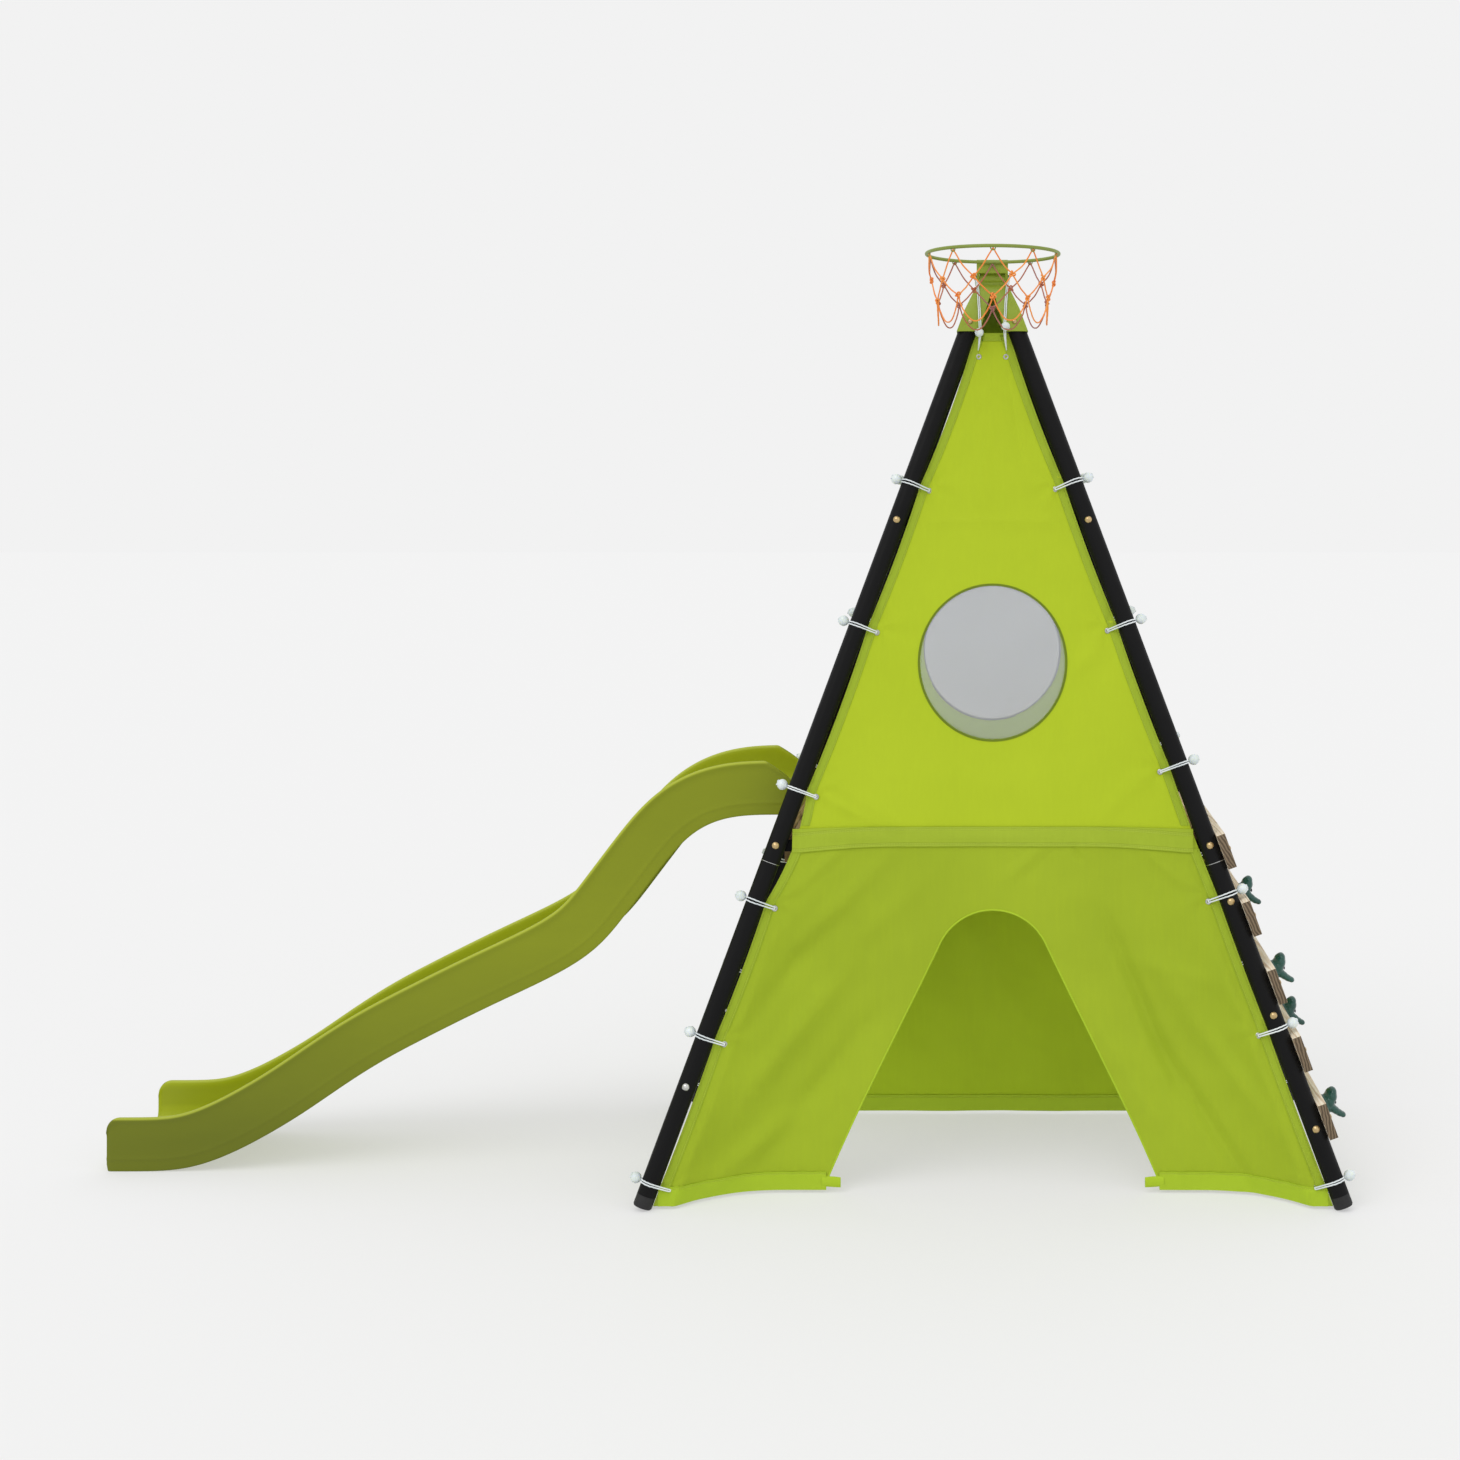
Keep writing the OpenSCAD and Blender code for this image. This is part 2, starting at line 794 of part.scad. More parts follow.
module slide() {
    wall_y = slide_w / 2 - slide_rim_w / 2;
    inside = 2 * wall_y;
    exit_x = -head_x - slide_run;
    color(slide_green)
        about_frame()
            difference() {
                union() {
                    for (side = [-1, 1]) {
                        across(slide_t, side * wall_y) slide_wall_outline();
                        across(slide_rim_w, side * wall_y)
                            slide_strip(slide_wall_h - slide_t, slide_wall_h, wall_first + 2, slide_steps - 3);
                        across(slide_rim_w * 0.7, side * wall_y)
                            slide_strip(bed_lift - slide_t, bed_lift, 4, slide_steps - 4);
                    }
                    across(inside) slide_strip(bed_lift - slide_t, bed_lift, 0, slide_steps);
                    translate([exit_x, -wall_y, 0]) cube([slide_t, inside, bed_lift]);
                    translate([-head_x - slide_t, -wall_y, head_z])
                        cube([slide_t, inside, bed_lift]);
                }
                for (side = [-1, 1])
                    translate([-rim_x, side * slide_bolt_y, 0])
                        cylinder(d = bolt_d + slip, h = head_z + slide_wall_h);
            }
}

module slide_bolts() {
    color(brass)
        about_frame()
            for (side = [-1, 1])
                translate([-rim_x, side * slide_bolt_y, head_z + bed_lift + fit])
                    mirror([0, 0, 1])
                        bolt(bed_lift + slide_bolt_deep - 2);
}

// ---------- covers ----------

// The lower panel hangs straight down between the legs and follows the legs at its sides
function hang(inside) = hang_max * (1 - pow(1 - max(0, min(1, (inside - flat_w) / hang_w)), 2.2));
function cover_y(x, h) =
    h >= seam_h ? -leg_y(h)
    : -leg_y(h) + hang(edge_x(h) - abs(x)) * (leg_y(h) - leg_y(seam_h));

// The doorway's edges run up from its feet to where they touch the arch
touch_a = acos(door_arch_r / norm([door_foot_w, door_spring_h])) - atan(door_spring_h / door_foot_w);
touch_x = door_arch_r * cos(touch_a);
touch_h = door_spring_h + door_arch_r * sin(touch_a);
arch_top_h = door_spring_h + door_arch_r;
function bow(t) = door_bow * 27 / 4 * t * pow(1 - t, 2);
function door_x(h) =
    h <= touch_h ? door_foot_w + (touch_x - door_foot_w) * h / touch_h + bow(h / touch_h)
    : h >= arch_top_h ? 0
    : sqrt(door_arch_r * door_arch_r - pow(h - door_spring_h, 2));

// Rows of the front's lower panel: up to the arch, round it, and up to the seam
door_rows = concat(
    [for (i = [0:6]) hem_h + (touch_h - hem_h) * i / 6],
    [for (i = [1:5]) door_spring_h + door_arch_r * sin(touch_a + (90 - touch_a) * i / 5)],
    [for (i = [1:2]) arch_top_h + (seam_h - fit - arch_top_h) * i / 2]
);
plain_rows = [for (i = [0:10]) hem_h + (seam_h - fit - hem_h) * i / 10];
sheet_cols = 9;

// Points of a row, from the outer edge inwards to inner
function row_x(outer, inner, i) =
    i == 0 ? outer
    : outer - flat_w + (inner - outer + flat_w) * pow((i - 1) / (sheet_cols - 1), 1.3);
function sheet_row(h, inner) =
    [for (i = [0:sheet_cols]) let (x = row_x(edge_x(h), inner, i)) [x, cover_y(x, h), h]];

// Closed sheet of cloth_t over a grid of rows
module cloth_grid(rows) {
    n = len(rows[0]);
    m = len(rows);
    flat = [for (r = rows, p = r) p];
    out = [0, -cloth_t / 2, 0];
    points = concat([for (p = flat) p + out], [for (p = flat) p - out]);
    back = n * m;
    faces = concat(
        [for (j = [0:m - 2], i = [0:n - 2]) let (a = j * n + i) [a, a + n, a + n + 1]],
        [for (j = [0:m - 2], i = [0:n - 2]) let (a = j * n + i) [a, a + n + 1, a + 1]],
        [for (j = [0:m - 2], i = [0:n - 2]) let (a = back + j * n + i) [a, a + n + 1, a + n]],
        [for (j = [0:m - 2], i = [0:n - 2]) let (a = back + j * n + i) [a, a + 1, a + n + 1]],
        [for (i = [0:n - 2]) each [[i, i + 1, back + i + 1], [i, back + i + 1, back + i]]],
        [for (i = [0:n - 2]) let (a = (m - 1) * n + i)
            each [[a, back + a + 1, a + 1], [a, back + a, back + a + 1]]],
        [for (j = [0:m - 2]) let (a = j * n)
            each [[a, back + a + n, a + n], [a, back + a, back + a + n]]],
        [for (j = [0:m - 2]) let (a = j * n + n - 1)
            each [[a, a + n, back + a + n], [a, back + a + n, back + a]]]
    );
    polyhedron(points, faces);
}

module cover_lower(back) {
    rows = back
        ? [for (h = plain_rows) sheet_row(h, 0)]
        : [for (h = door_rows) sheet_row(h, door_x(h))];
    color(cover_green)
        difference() {
            about_frame()
                mirror([0, back ? 1 : 0, 0])
                    for (side = [0, 1]) mirror([side, 0, 0]) cloth_grid(rows);
            eyelet_holes(back, 0, seam_h);
        }
}

module eyelet_holes(back, low, high) {
    for (right = [false, true], h = tie_heights(right))
        if (h > low && h < high)
            on_leg(right, back, h)
                translate([-eyelet_in, 0, 0])
                    rotate([90, 0, 0])
                        cylinder(d = eyelet_d + fit, h = 40, center = true);
}

// Window outline, flat in the cover's plane
module at_window(back) {
    on_face(back)
        translate([0, 0, window_h / cos(face_a)])
            rotate([90, 0, 0])
                children();
}

module cover_upper(back) {
    low = edge_x(seam_h);
    high = edge_x(cover_top_h);
    color(cover_green)
        difference() {
            on_face(back)
                upright(cloth_t)
                    polygon([
                        [-low, seam_h / cos(face_a)], [low, seam_h / cos(face_a)],
                        [high, cover_top_h / cos(face_a)], [-high, cover_top_h / cos(face_a)]
                    ]);
            at_window(back) cylinder(r = window_r, h = 40, center = true);
            eyelet_holes(back, seam_h, apex_h);
        }
}

module seam_band(back) {
    low = seam_h - seam_band_w / 2;
    high = seam_h + seam_band_w / 2;
    outer = cloth_t / 2 + fit + binding_t / 2;
    color(cover_green)
        on_face(back)
            translate([0, -outer, 0])
                upright(binding_t)
                    polygon([
                        [-edge_x(low), low / cos(face_a)], [edge_x(low), low / cos(face_a)],
                        [edge_x(high), high / cos(face_a)], [-edge_x(high), high / cos(face_a)]
                    ]);
}

module window_film(back) {
    color("#C9CED2")
        at_window(back)
            translate([0, 0, cloth_t / 2 - film_t]) cylinder(r = window_r - fit, h = film_t);
}

module window_binding(back) {
    color(cover_green)
        at_window(back)
            translate([0, 0, cloth_t / 2 + fit])
                difference() {
                    cylinder(r = window_r + binding_w / 2, h = binding_t);
                    translate([0, 0, -1]) cylinder(r = window_r - binding_w / 2, h = binding_t + 2);
                }
}

// ---------- ties ----------

module each_tie(back) {
    for (right = [false, true], h = tie_heights(right))
        on_leg(right, back, h) children();
}

module eyelets(back) {
    eyelet_t = cloth_t + 1;
    color("silver")
        each_tie(back)
            translate([-eyelet_in, 0, 0])
                rotate([90, 0, 0])
                    difference() {
                        cylinder(d = eyelet_d, h = eyelet_t, center = true);
                        cylinder(d = tie_d + 2 * fit, h = eyelet_t + 2, center = true);
                    }
}

// Elastic loop round the leg and through the eyelet
module tie_loop(rod) {
    straight = eyelet_in - loop_r;
    rotate([0, 0, -90]) rotate_extrude(angle = 180) translate([loop_r, 0]) circle(d = rod);
    translate([-straight, 0, 0])
        rotate([0, 0, 90])
            rotate_extrude(angle = 180) translate([loop_r, 0]) circle(d = rod);
    for (side = [-1, 1])
        translate([-straight, side * loop_r, 0])
            rotate([0, 90, 0])
                cylinder(d = rod, h = straight);
}

module tie_loops(back) {
    color(white) each_tie(back) tie_loop(tie_d);
}

module tie_balls(back) {
    color(white)
        for (right = [false, true], h = tie_heights(right))
            if (h < cover_top_h - 100)
                on_leg(right, back, h)
                    difference() {
                        translate([ball_out, 0, 0]) sphere(d = ball_d);
                        cylinder(r = loop_r + tie_d / 2 + fit, h = ball_d, center = true);
                    }
}

// ---------- nodes ----------

leg_lower(false, false);  // leg_lower_front_left
leg_lower(true, false);  // leg_lower_front_right
leg_lower(false, true);  // leg_lower_back_left
leg_lower(true, true);  // leg_lower_back_right
leg_upper(false, false);  // leg_upper_front_left
leg_upper(true, false);  // leg_upper_front_right
leg_upper(false, true);  // leg_upper_back_left
leg_upper(true, true);  // leg_upper_back_right
foot_caps();
apex_cap();
cap_bolts();
leg_bolts();
leg_nuts();
crossbar(false, platform_h, crossbar_d);  // platform_crossbar_front
crossbar(true, platform_h, crossbar_d);  // platform_crossbar_back
crossbar(false, upper_bar_h, crossbar_d);  // upper_crossbar_front
crossbar(true, upper_bar_h, crossbar_d);  // upper_crossbar_back
platform_rim(false);  // platform_rim_left
platform_rim(true);  // platform_rim_right
deck_screws();
for (i = [1:deck_boards])
    deck_board(i);
for (i = [1:len(slat_h)])
    climbing_slat(i);
slat_bolts();
climbing_holds();
hold_bolts();
slide();
slide_bolts();
cover_upper(false);  // front_cover_upper
cover_lower(false);  // front_cover_lower
seam_band(false);  // front_seam_band
cover_upper(true);  // back_cover_upper
cover_lower(true);  // back_cover_lower
seam_band(true);  // back_seam_band
window_film(false);  // front_window_film
window_binding(false);  // front_window_binding
window_film(true);  // back_window_film
window_binding(true);  // back_window_binding
eyelets(false);  // front_eyelets
tie_loops(false);  // front_tie_loops
tie_balls(false);  // front_tie_balls
eyelets(true);  // back_eyelets
tie_loops(true);  // back_tie_loops
tie_balls(true);  // back_tie_balls
hoop_ring();
hoop_bracket();
hoop_pivot_bolt();
net_hooks();
net();
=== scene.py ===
from math import acos, atan, cos, hypot, pi, radians, sin, sqrt

import bmesh
import bpy
import numpy as np
from mathutils import Matrix, Vector


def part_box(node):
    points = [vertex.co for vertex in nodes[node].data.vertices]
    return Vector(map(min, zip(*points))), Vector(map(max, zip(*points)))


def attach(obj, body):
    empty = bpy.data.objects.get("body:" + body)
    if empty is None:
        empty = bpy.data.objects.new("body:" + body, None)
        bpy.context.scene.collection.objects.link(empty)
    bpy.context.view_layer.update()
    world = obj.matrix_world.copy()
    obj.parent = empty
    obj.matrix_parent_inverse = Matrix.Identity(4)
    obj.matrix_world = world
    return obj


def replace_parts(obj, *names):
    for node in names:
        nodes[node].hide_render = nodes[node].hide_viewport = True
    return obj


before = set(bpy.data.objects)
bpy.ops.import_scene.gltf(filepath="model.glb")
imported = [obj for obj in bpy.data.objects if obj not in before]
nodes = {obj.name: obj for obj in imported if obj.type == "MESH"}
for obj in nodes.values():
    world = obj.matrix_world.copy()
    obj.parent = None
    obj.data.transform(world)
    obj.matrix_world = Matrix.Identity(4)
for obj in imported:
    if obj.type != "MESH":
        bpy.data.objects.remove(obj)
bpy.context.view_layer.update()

scene = bpy.context.scene
shift, spin = Matrix.Translation, Matrix.Rotation


def placed(name, data):
    """A new object in the scene."""
    obj = bpy.data.objects.new(name, data)
    scene.collection.objects.link(obj)
    return obj


# ---------- camera ----------
lens = bpy.data.cameras.new("camera")
lens.sensor_width, lens.lens = 36, 48.1
lens.shift_x, lens.shift_y = -0.1733, -0.1575
camera = placed("camera", lens)
camera.location = (0.6868, -5.29, 1.764)
camera.rotation_euler = (pi / 2, 0, 0)
scene.camera = camera

# ---------- the frame's sizes, in metres ----------
FOOT_X, FOOT_Y, LEAN_X, LEAN_Y = 0.875, 0.44, 0.364706, 0.174208
FRAME_X = (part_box("hoop_ring")[0].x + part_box("hoop_ring")[1].x) / 2
TUBE_R = 0.024
FACE_A = atan(LEAN_Y)
LEG_A = atan(LEAN_X * cos(FACE_A))
SIDE_A = atan(LEAN_X)
LEG_PER_H = 1 / cos(FACE_A) / cos(LEG_A)
SEAM_H, TOP_H, HEM_H = 0.900, 2.212, 0.008
EDGE_IN, EYELET_IN, BALL_OUT = 0.027, 0.052, 0.0405
ARCH_R, ARCH_H, DOOR_FOOT, DOOR_BOW = 0.150, 0.564, 0.436, 0.006
TOUCH_A = acos(ARCH_R / hypot(DOOR_FOOT, ARCH_H)) - atan(ARCH_H / DOOR_FOOT)
TOUCH_X, TOUCH_H = ARCH_R * cos(TOUCH_A), ARCH_H + ARCH_R * sin(TOUCH_A)
WINDOW_H, WINDOW_RX, WINDOW_RZ = 1.342, 0.192, 0.200
TIES_LEFT = [0.062, 0.409, 0.740, 1.017, 1.435, 1.806, 2.165]
TIES_RIGHT = [0.067, 0.430, 0.757, 1.080, 1.440, 1.810, 2.165]
SCALLOPS_LEFT = [0.003, 0.004, 0.018, 0.006, 0.005, 0.007]
SCALLOPS_RIGHT = [0.002, 0.002, 0.003, 0.004, 0.004, 0.005]
JOINT_H = 0.836
SIDES = ("front", "back")
HOOP_Z = (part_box("hoop_ring")[0].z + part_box("hoop_ring")[1].z) / 2
HOOP_R = 0.171
HOOP_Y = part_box("hoop_ring")[0].y + HOOP_R + 0.0045


def leg_x(h):
    return FOOT_X - LEAN_X * h


def leg_y(h):
    return FOOT_Y - LEAN_Y * h


def clamp(v, lo=0.0, hi=1.0):
    return np.minimum(hi, np.maximum(lo, v))


def row_faces(first, second, count, closed=True):
    """Quads between two rows of count points, which start at first and second."""
    return [
        (first + i, second + i, second + (i + 1) % count, first + (i + 1) % count)
        for i in range(count if closed else count - 1)
    ]


def catmull(p, q, r, s, t):
    """Point at t on the smooth span from q to r."""
    curve = (2 * p - 5 * q + 4 * r - s) * t * t
    return 0.5 * (2 * q + (r - p) * t + curve + (3 * q - p - 3 * r + s) * t ** 3)


def on_face(back):
    """Places things on a cover's plane, with X across it and Z up it."""
    m = shift((FRAME_X, 0, 0))
    if back:
        m = m @ Matrix.Scale(-1, 4, (0, 1, 0))
    return m @ shift((0, -FOOT_Y, 0)) @ spin(-FACE_A, 4, "X")


def on_leg(right, back, h):
    """Places things on a leg at height h, with Z along it and -X inwards on the cover's plane."""
    m = on_face(back)
    if not right:
        m = m @ Matrix.Scale(-1, 4, (1, 0, 0))
    m = m @ shift((FOOT_X, 0, 0)) @ spin(-LEG_A, 4, "Y")
    return m @ shift((0, 0, h * LEG_PER_H))


def on_side(h):
    """Places things on the climbing side at height h, with X out of it."""
    m = shift((FRAME_X + FOOT_X, 0, 0)) @ spin(-SIDE_A, 4, "Y")
    return m @ shift((0, 0, h / cos(SIDE_A)))


# ---------- materials ----------
def linear(rgb):
    return [((c / 255 + 0.055) / 1.055) ** 2.4 if c > 10 else c / 255 / 12.92 for c in rgb] + [1]


class Look:
    """A Principled material whose colour, roughness and bump come from noise in object space."""

    def __init__(self, name, **sockets):
        self.mat = bpy.data.materials.new(name)
        self.mat.use_nodes = True
        self.tree = self.mat.node_tree
        self.bsdf = self.tree.nodes["Principled BSDF"]
        for key, value in sockets.items():
            self.bsdf.inputs[key.replace("_", " ")].default_value = value
        self.coords = self.node("ShaderNodeTexCoord").outputs["Object"]
        self.bumped = None

    def node(self, kind, inputs=None, **attrs):
        n = self.tree.nodes.new(kind)
        for k, v in attrs.items():
            setattr(n, k, v)
        for k, v in (inputs or {}).items():
            if isinstance(v, bpy.types.NodeSocket):
                self.tree.links.new(v, n.inputs[k])
            else:
                n.inputs[k].default_value = v
        return n

    def math(self, op, a, b=0.0):
        return self.node("ShaderNodeMath", {0: a, 1: b}, operation=op).outputs[0]

    def stretched(self, scale):
        return self.node("ShaderNodeMapping", {"Vector": self.coords, "Scale": scale}).outputs[0]

    def noise(self, scale, detail=2.0, rough=0.5, vector=None):
        inputs = {"Vector": vector or self.coords, "Scale": scale, "Detail": detail, "Roughness": rough}
        return self.node("ShaderNodeTexNoise", inputs).outputs["Fac"]

    def mix(self, factor, a, b):
        return self.node("ShaderNodeMix", {0: factor, 6: a, 7: b}, data_type="RGBA").outputs[2]

    def ramp(self, value, stops):
        n = self.node("ShaderNodeValToRGB", {"Fac": value})
        while len(n.color_ramp.elements) < len(stops):
            n.color_ramp.elements.new(0.5)
        for e, (at, colour) in zip(n.color_ramp.elements, stops):
            e.position, e.color = at, colour
        return n.outputs["Color"]

    def span(self, value, low, high, lo=0.0, hi=1.0):
        """Value's range from low to high, stretched to run from lo to hi."""
        limits = {"From Min": low, "From Max": high, "To Min": lo, "To Max": hi}
        return self.node("ShaderNodeMapRange", {"Value": value, **limits}).outputs["Result"]

    def colour(self, socket):
        self.tree.links.new(socket, self.bsdf.inputs["Base Color"])

    def rough(self, socket):
        self.tree.links.new(socket, self.bsdf.inputs["Roughness"])

    def bump(self, height, distance, strength=1.0):
        inputs = {"Height": height, "Distance": distance, "Strength": strength}
        if self.bumped:
            inputs["Normal"] = self.bumped
        self.bumped = self.node("ShaderNodeBump", inputs).outputs["Normal"]
        self.tree.links.new(self.bumped, self.bsdf.inputs["Normal"])


def powder(name, dark, light, rough=0.42, grain=700, shine=0.45):
    """Powder-coated steel: fine orange peel and a slightly uneven sheen."""
    m = Look(name, Roughness=rough, Specular_IOR_Level=shine)
    m.colour(m.mix(m.noise(9, 4), linear(dark), linear(light)))
    m.rough(m.span(m.noise(22, 4), 0.3, 0.7, rough - 0.06, rough + 0.08))
    m.bump(m.noise(grain, 2), 0.00025, 0.7)
    m.bump(m.noise(60, 2), 0.0006, 0.25)
    return m.mat


def moulded(name, dark, light, rough=0.35, spots=5, subsurface=0.0):
    """Moulded plastic: soft mottling, faint flow marks and a fine grain."""
    m = Look(name, Roughness=rough, Specular_IOR_Level=0.5, Subsurface_Weight=subsurface)
    m.bsdf.inputs["Subsurface Scale"].default_value = 0.004
    m.bsdf.inputs["Subsurface Radius"].default_value = (1.0, 1.0, 0.4)
    flow = m.noise(spots, 5, 0.6, m.stretched((0.35, 1, 1)))
    m.colour(m.mix(m.span(flow, 0.3, 0.7), linear(dark), linear(light)))
    m.rough(m.span(m.noise(spots * 6, 4), 0.3, 0.7, rough - 0.05, rough + 0.1))
    m.bump(m.noise(900, 2), 0.0002, 0.5)
    m.bump(m.noise(18, 2), 0.0015, 0.25)
    return m.mat


def slide_plastic():
    """Moulded slide: painted shade darkening it low down towards its foot, painted light on its inner faces,
    and a painted highlight along the top of its walls.
    """
    m = Look("slide_plastic", Roughness=0.42, Specular_IOR_Level=0.28)
    xyz = m.node("ShaderNodeSeparateXYZ", {0: m.coords})
    flow = m.span(m.noise(3, 5, 0.6, m.stretched((0.35, 1, 1))), 0.3, 0.7)
    outer = m.mix(flow, linear((124, 134, 12)), linear((132, 142, 16)))
    # painted shade: a darker copy of the plastic, mixed in low on the slide by height
    shaded_low = m.mix(flow, linear((98, 106, 10)), linear((106, 114, 14)))
    face = m.mix(m.span(xyz.outputs["Z"], 0.08, 0.60), shaded_low, outer)
    # painted light: a lighter copy of the plastic on the faces inside the walls
    inner = m.mix(flow, linear((154, 165, 18)), linear((164, 174, 24)))
    reach = m.math("ABSOLUTE", xyz.outputs["Y"])
    face = m.mix(m.span(reach, 0.159, 0.163), inner, face)
    # painted highlight: a pale line along the top of the walls, placed by the UV height up the wall
    up_wall = m.node("ShaderNodeSeparateXYZ", {0: m.node("ShaderNodeUVMap").outputs["UV"]}).outputs["Y"]
    m.colour(m.mix(m.span(up_wall, 0.134, 0.138, 0, 0.7), face, linear((176, 186, 60))))
    m.rough(m.span(m.noise(18, 4), 0.3, 0.7, 0.36, 0.5))
    m.bump(m.noise(900, 2), 0.0002, 0.5)
    m.bump(m.noise(18, 2), 0.0015, 0.25)
    return m.mat


def metal(name, dark, light, rough=0.28, scale=300):
    """Plated metal: thin scratches over a cloudy plating."""
    m = Look(name, Metallic=1.0, Roughness=rough)
    m.colour(m.mix(m.noise(120, 5, 0.6), linear(dark), linear(light)))
    m.rough(m.span(m.noise(scale, 5, 0.7, m.stretched((1, 6, 1))), 0.3, 0.7, rough - 0.1, rough + 0.16))
    m.bump(m.noise(scale * 4, 3, 0.5, m.stretched((1, 5, 1))), 0.0001, 0.5)
    return m.mat


def wood(name, pale, mid, dark, end):
    """Sawn softwood along Y: growth bands, pores, a few knots, and darker end grain."""
    m = Look(name, Roughness=0.62, Specular_IOR_Level=0.3)
    lengthwise = m.stretched((1, 0.05, 1))
    warp = m.noise(7, 3, 0.6, m.stretched((1, 0.3, 1)))
    bands = m.node(
        "ShaderNodeTexWave",
        {"Vector": lengthwise, "Scale": 26, "Distortion": 7, "Detail": 3, "Detail Scale": 1.4},
        wave_type="BANDS", bands_direction="DIAGONAL",
    ).outputs["Fac"]
    fibre = m.noise(330, 4, 0.65, lengthwise)
    face = m.ramp(bands, [(0.0, linear(mid)), (0.45, linear(pale)), (0.8, linear(pale)), (1.0, linear(dark))])
    face = m.mix(m.span(warp, 0.35, 0.75, 0, 0.55), face, linear(mid))
    face = m.mix(m.span(fibre, 0.45, 0.8, 0, 0.45), face, linear(dark))
    knots = m.node("ShaderNodeTexVoronoi", {"Vector": m.stretched((5, 1.6, 5)), "Scale": 1.3})
    near = m.span(knots.outputs["Distance"], 0.05, 0.11, 0.75, 0)
    face = m.mix(near, face, linear(end))
    rings = m.node(
        "ShaderNodeTexWave",
        {"Vector": m.stretched((1, 0, 1)), "Scale": 42, "Distortion": 4, "Detail": 2},
        wave_type="RINGS", rings_direction="Y",
    ).outputs["Fac"]
    ends = m.mix(m.span(rings, 0.2, 0.9, 0, 0.3), linear(end), linear(dark))
    normal = m.node("ShaderNodeNewGeometry").outputs["Normal"]
    along = m.math("ABSOLUTE", m.node("ShaderNodeSeparateXYZ", {0: normal}).outputs["Y"])
    is_end = m.span(along, 0.6, 0.8)
    m.colour(m.mix(is_end, face, ends))
    m.rough(m.span(fibre, 0.3, 0.8, 0.52, 0.75))
    m.bump(fibre, 0.0006, 0.8)
    m.bump(bands, 0.0008, 0.35)
    return m.mat


WEAVE_PITCH, STITCH_PITCH = 0.0011, 0.0042


def weave(m, across, along):
    """Plain weave height from two surface coordinates in metres."""
    a = m.math("SINE", m.math("MULTIPLY", across, 2 * pi / WEAVE_PITCH))
    b = m.math("SINE", m.math("MULTIPLY", along, 2 * pi / WEAVE_PITCH))
    return m.math("MULTIPLY", a, b)


def fabric(name, base, deep, bright, through, stitch=()):
    """Coated woven cloth whose UVs are metres. through is the light it passes, stitch its rows across V."""
    m = Look(name, Roughness=0.72, Specular_IOR_Level=0.25, Sheen_Weight=0.25, Sheen_Roughness=0.5)
    m.bsdf.inputs["Sheen Tint"].default_value = linear(bright)
    uv = m.node("ShaderNodeUVMap").outputs["UV"]
    xyz = m.node("ShaderNodeSeparateXYZ", {0: uv})
    u, v = xyz.outputs["X"], xyz.outputs["Y"]
    cloudy = m.span(m.noise(2.2, 4, 0.55), 0.32, 0.68)
    tone = m.mix(cloudy, linear(deep), linear(base))
    slub = m.noise(90, 3, 0.7, m.stretched((1, 1, 0.08)))
    tone = m.mix(m.span(slub, 0.45, 0.8, 0, 0.16), tone, linear(bright))
    height = weave(m, u, v)
    if stitch:
        rows = None
        dash = m.math("ABSOLUTE", m.math("SINE", m.math("MULTIPLY", u, pi / STITCH_PITCH)))
        for row in stitch:
            off = m.math("ABSOLUTE", m.math("SUBTRACT", v, row))
            line = m.math("MULTIPLY", m.span(off, 0.0007, 0.0013, 1, 0), m.span(dash, 0.25, 0.5))
            groove = m.span(off, 0.0, 0.0032, -1, 0)
            rows = m.math("MAXIMUM", rows, line) if rows else line
            m.bump(groove, 0.0016, 0.9)
        tone = m.mix(m.math("MULTIPLY", rows, 0.75), tone, linear(bright))
        m.bump(rows, 0.0009, 0.9)
    m.bump(height, 0.00018, 0.55)
    m.bump(m.noise(14, 4, 0.6), 0.004, 0.18)
    m.colour(tone)
    m.rough(m.span(slub, 0.3, 0.8, 0.64, 0.8))
    thin = m.node("ShaderNodeBsdfTranslucent", {"Color": tone, "Normal": m.bumped})
    mixed = m.node("ShaderNodeMixShader", {0: through, 1: m.bsdf.outputs[0], 2: thin.outputs[0]})
    m.tree.links.new(mixed.outputs[0], m.tree.nodes["Material Output"].inputs["Surface"])
    return m.mat


def rope(name, a, b, rough=0.7, scale=900):
    """Braided or twisted cord: two tones and a fine fibre bump."""
    m = Look(name, Roughness=rough, Sheen_Weight=0.3, Specular_IOR_Level=0.3)
    m.colour(m.mix(m.span(m.noise(14, 3), 0.35, 0.65), linear(a), linear(b)))
    m.bump(m.noise(scale, 3, 0.6), 0.0003, 0.8)
    return m.mat


STEEL = powder("frame_steel", (7, 7, 8), (12, 12, 13), 0.5, 700, 0.15)
CAP_BLACK = moulded("foot_plastic", (14, 14, 15), (22, 22, 23), 0.6, 12)
GREEN_STEEL = powder("green_steel", (132, 152, 34), (146, 166, 44), 0.42, 500)
HOOP_STEEL = powder("hoop_steel", (116, 132, 48), (130, 146, 58), 0.45, 500)
DARK_STEEL = metal("dark_steel", (38, 38, 40), (62, 62, 66), 0.38)
BRASS = metal("gold_bolts", (172, 144, 96), (212, 188, 142), 0.26)
NICKEL = metal("eyelet_metal", (150, 152, 150), (205, 206, 204), 0.3)
DECK_WOOD = wood("deck_wood", (226, 205, 172), (205, 176, 136), (168, 134, 96), (150, 120, 86))
SLAT_WOOD = wood("slat_wood", (236, 229, 210), (226, 209, 182), (190, 166, 136), (80, 67, 50))
HOLD_PLASTIC = moulded("hold_plastic", (20, 62, 54), (32, 84, 74), 0.22, 14)
SLIDE_PLASTIC = slide_plastic()
BALL = moulded("tie_ball", (206, 216, 214), (226, 233, 232), 0.25, 40, 0.2)
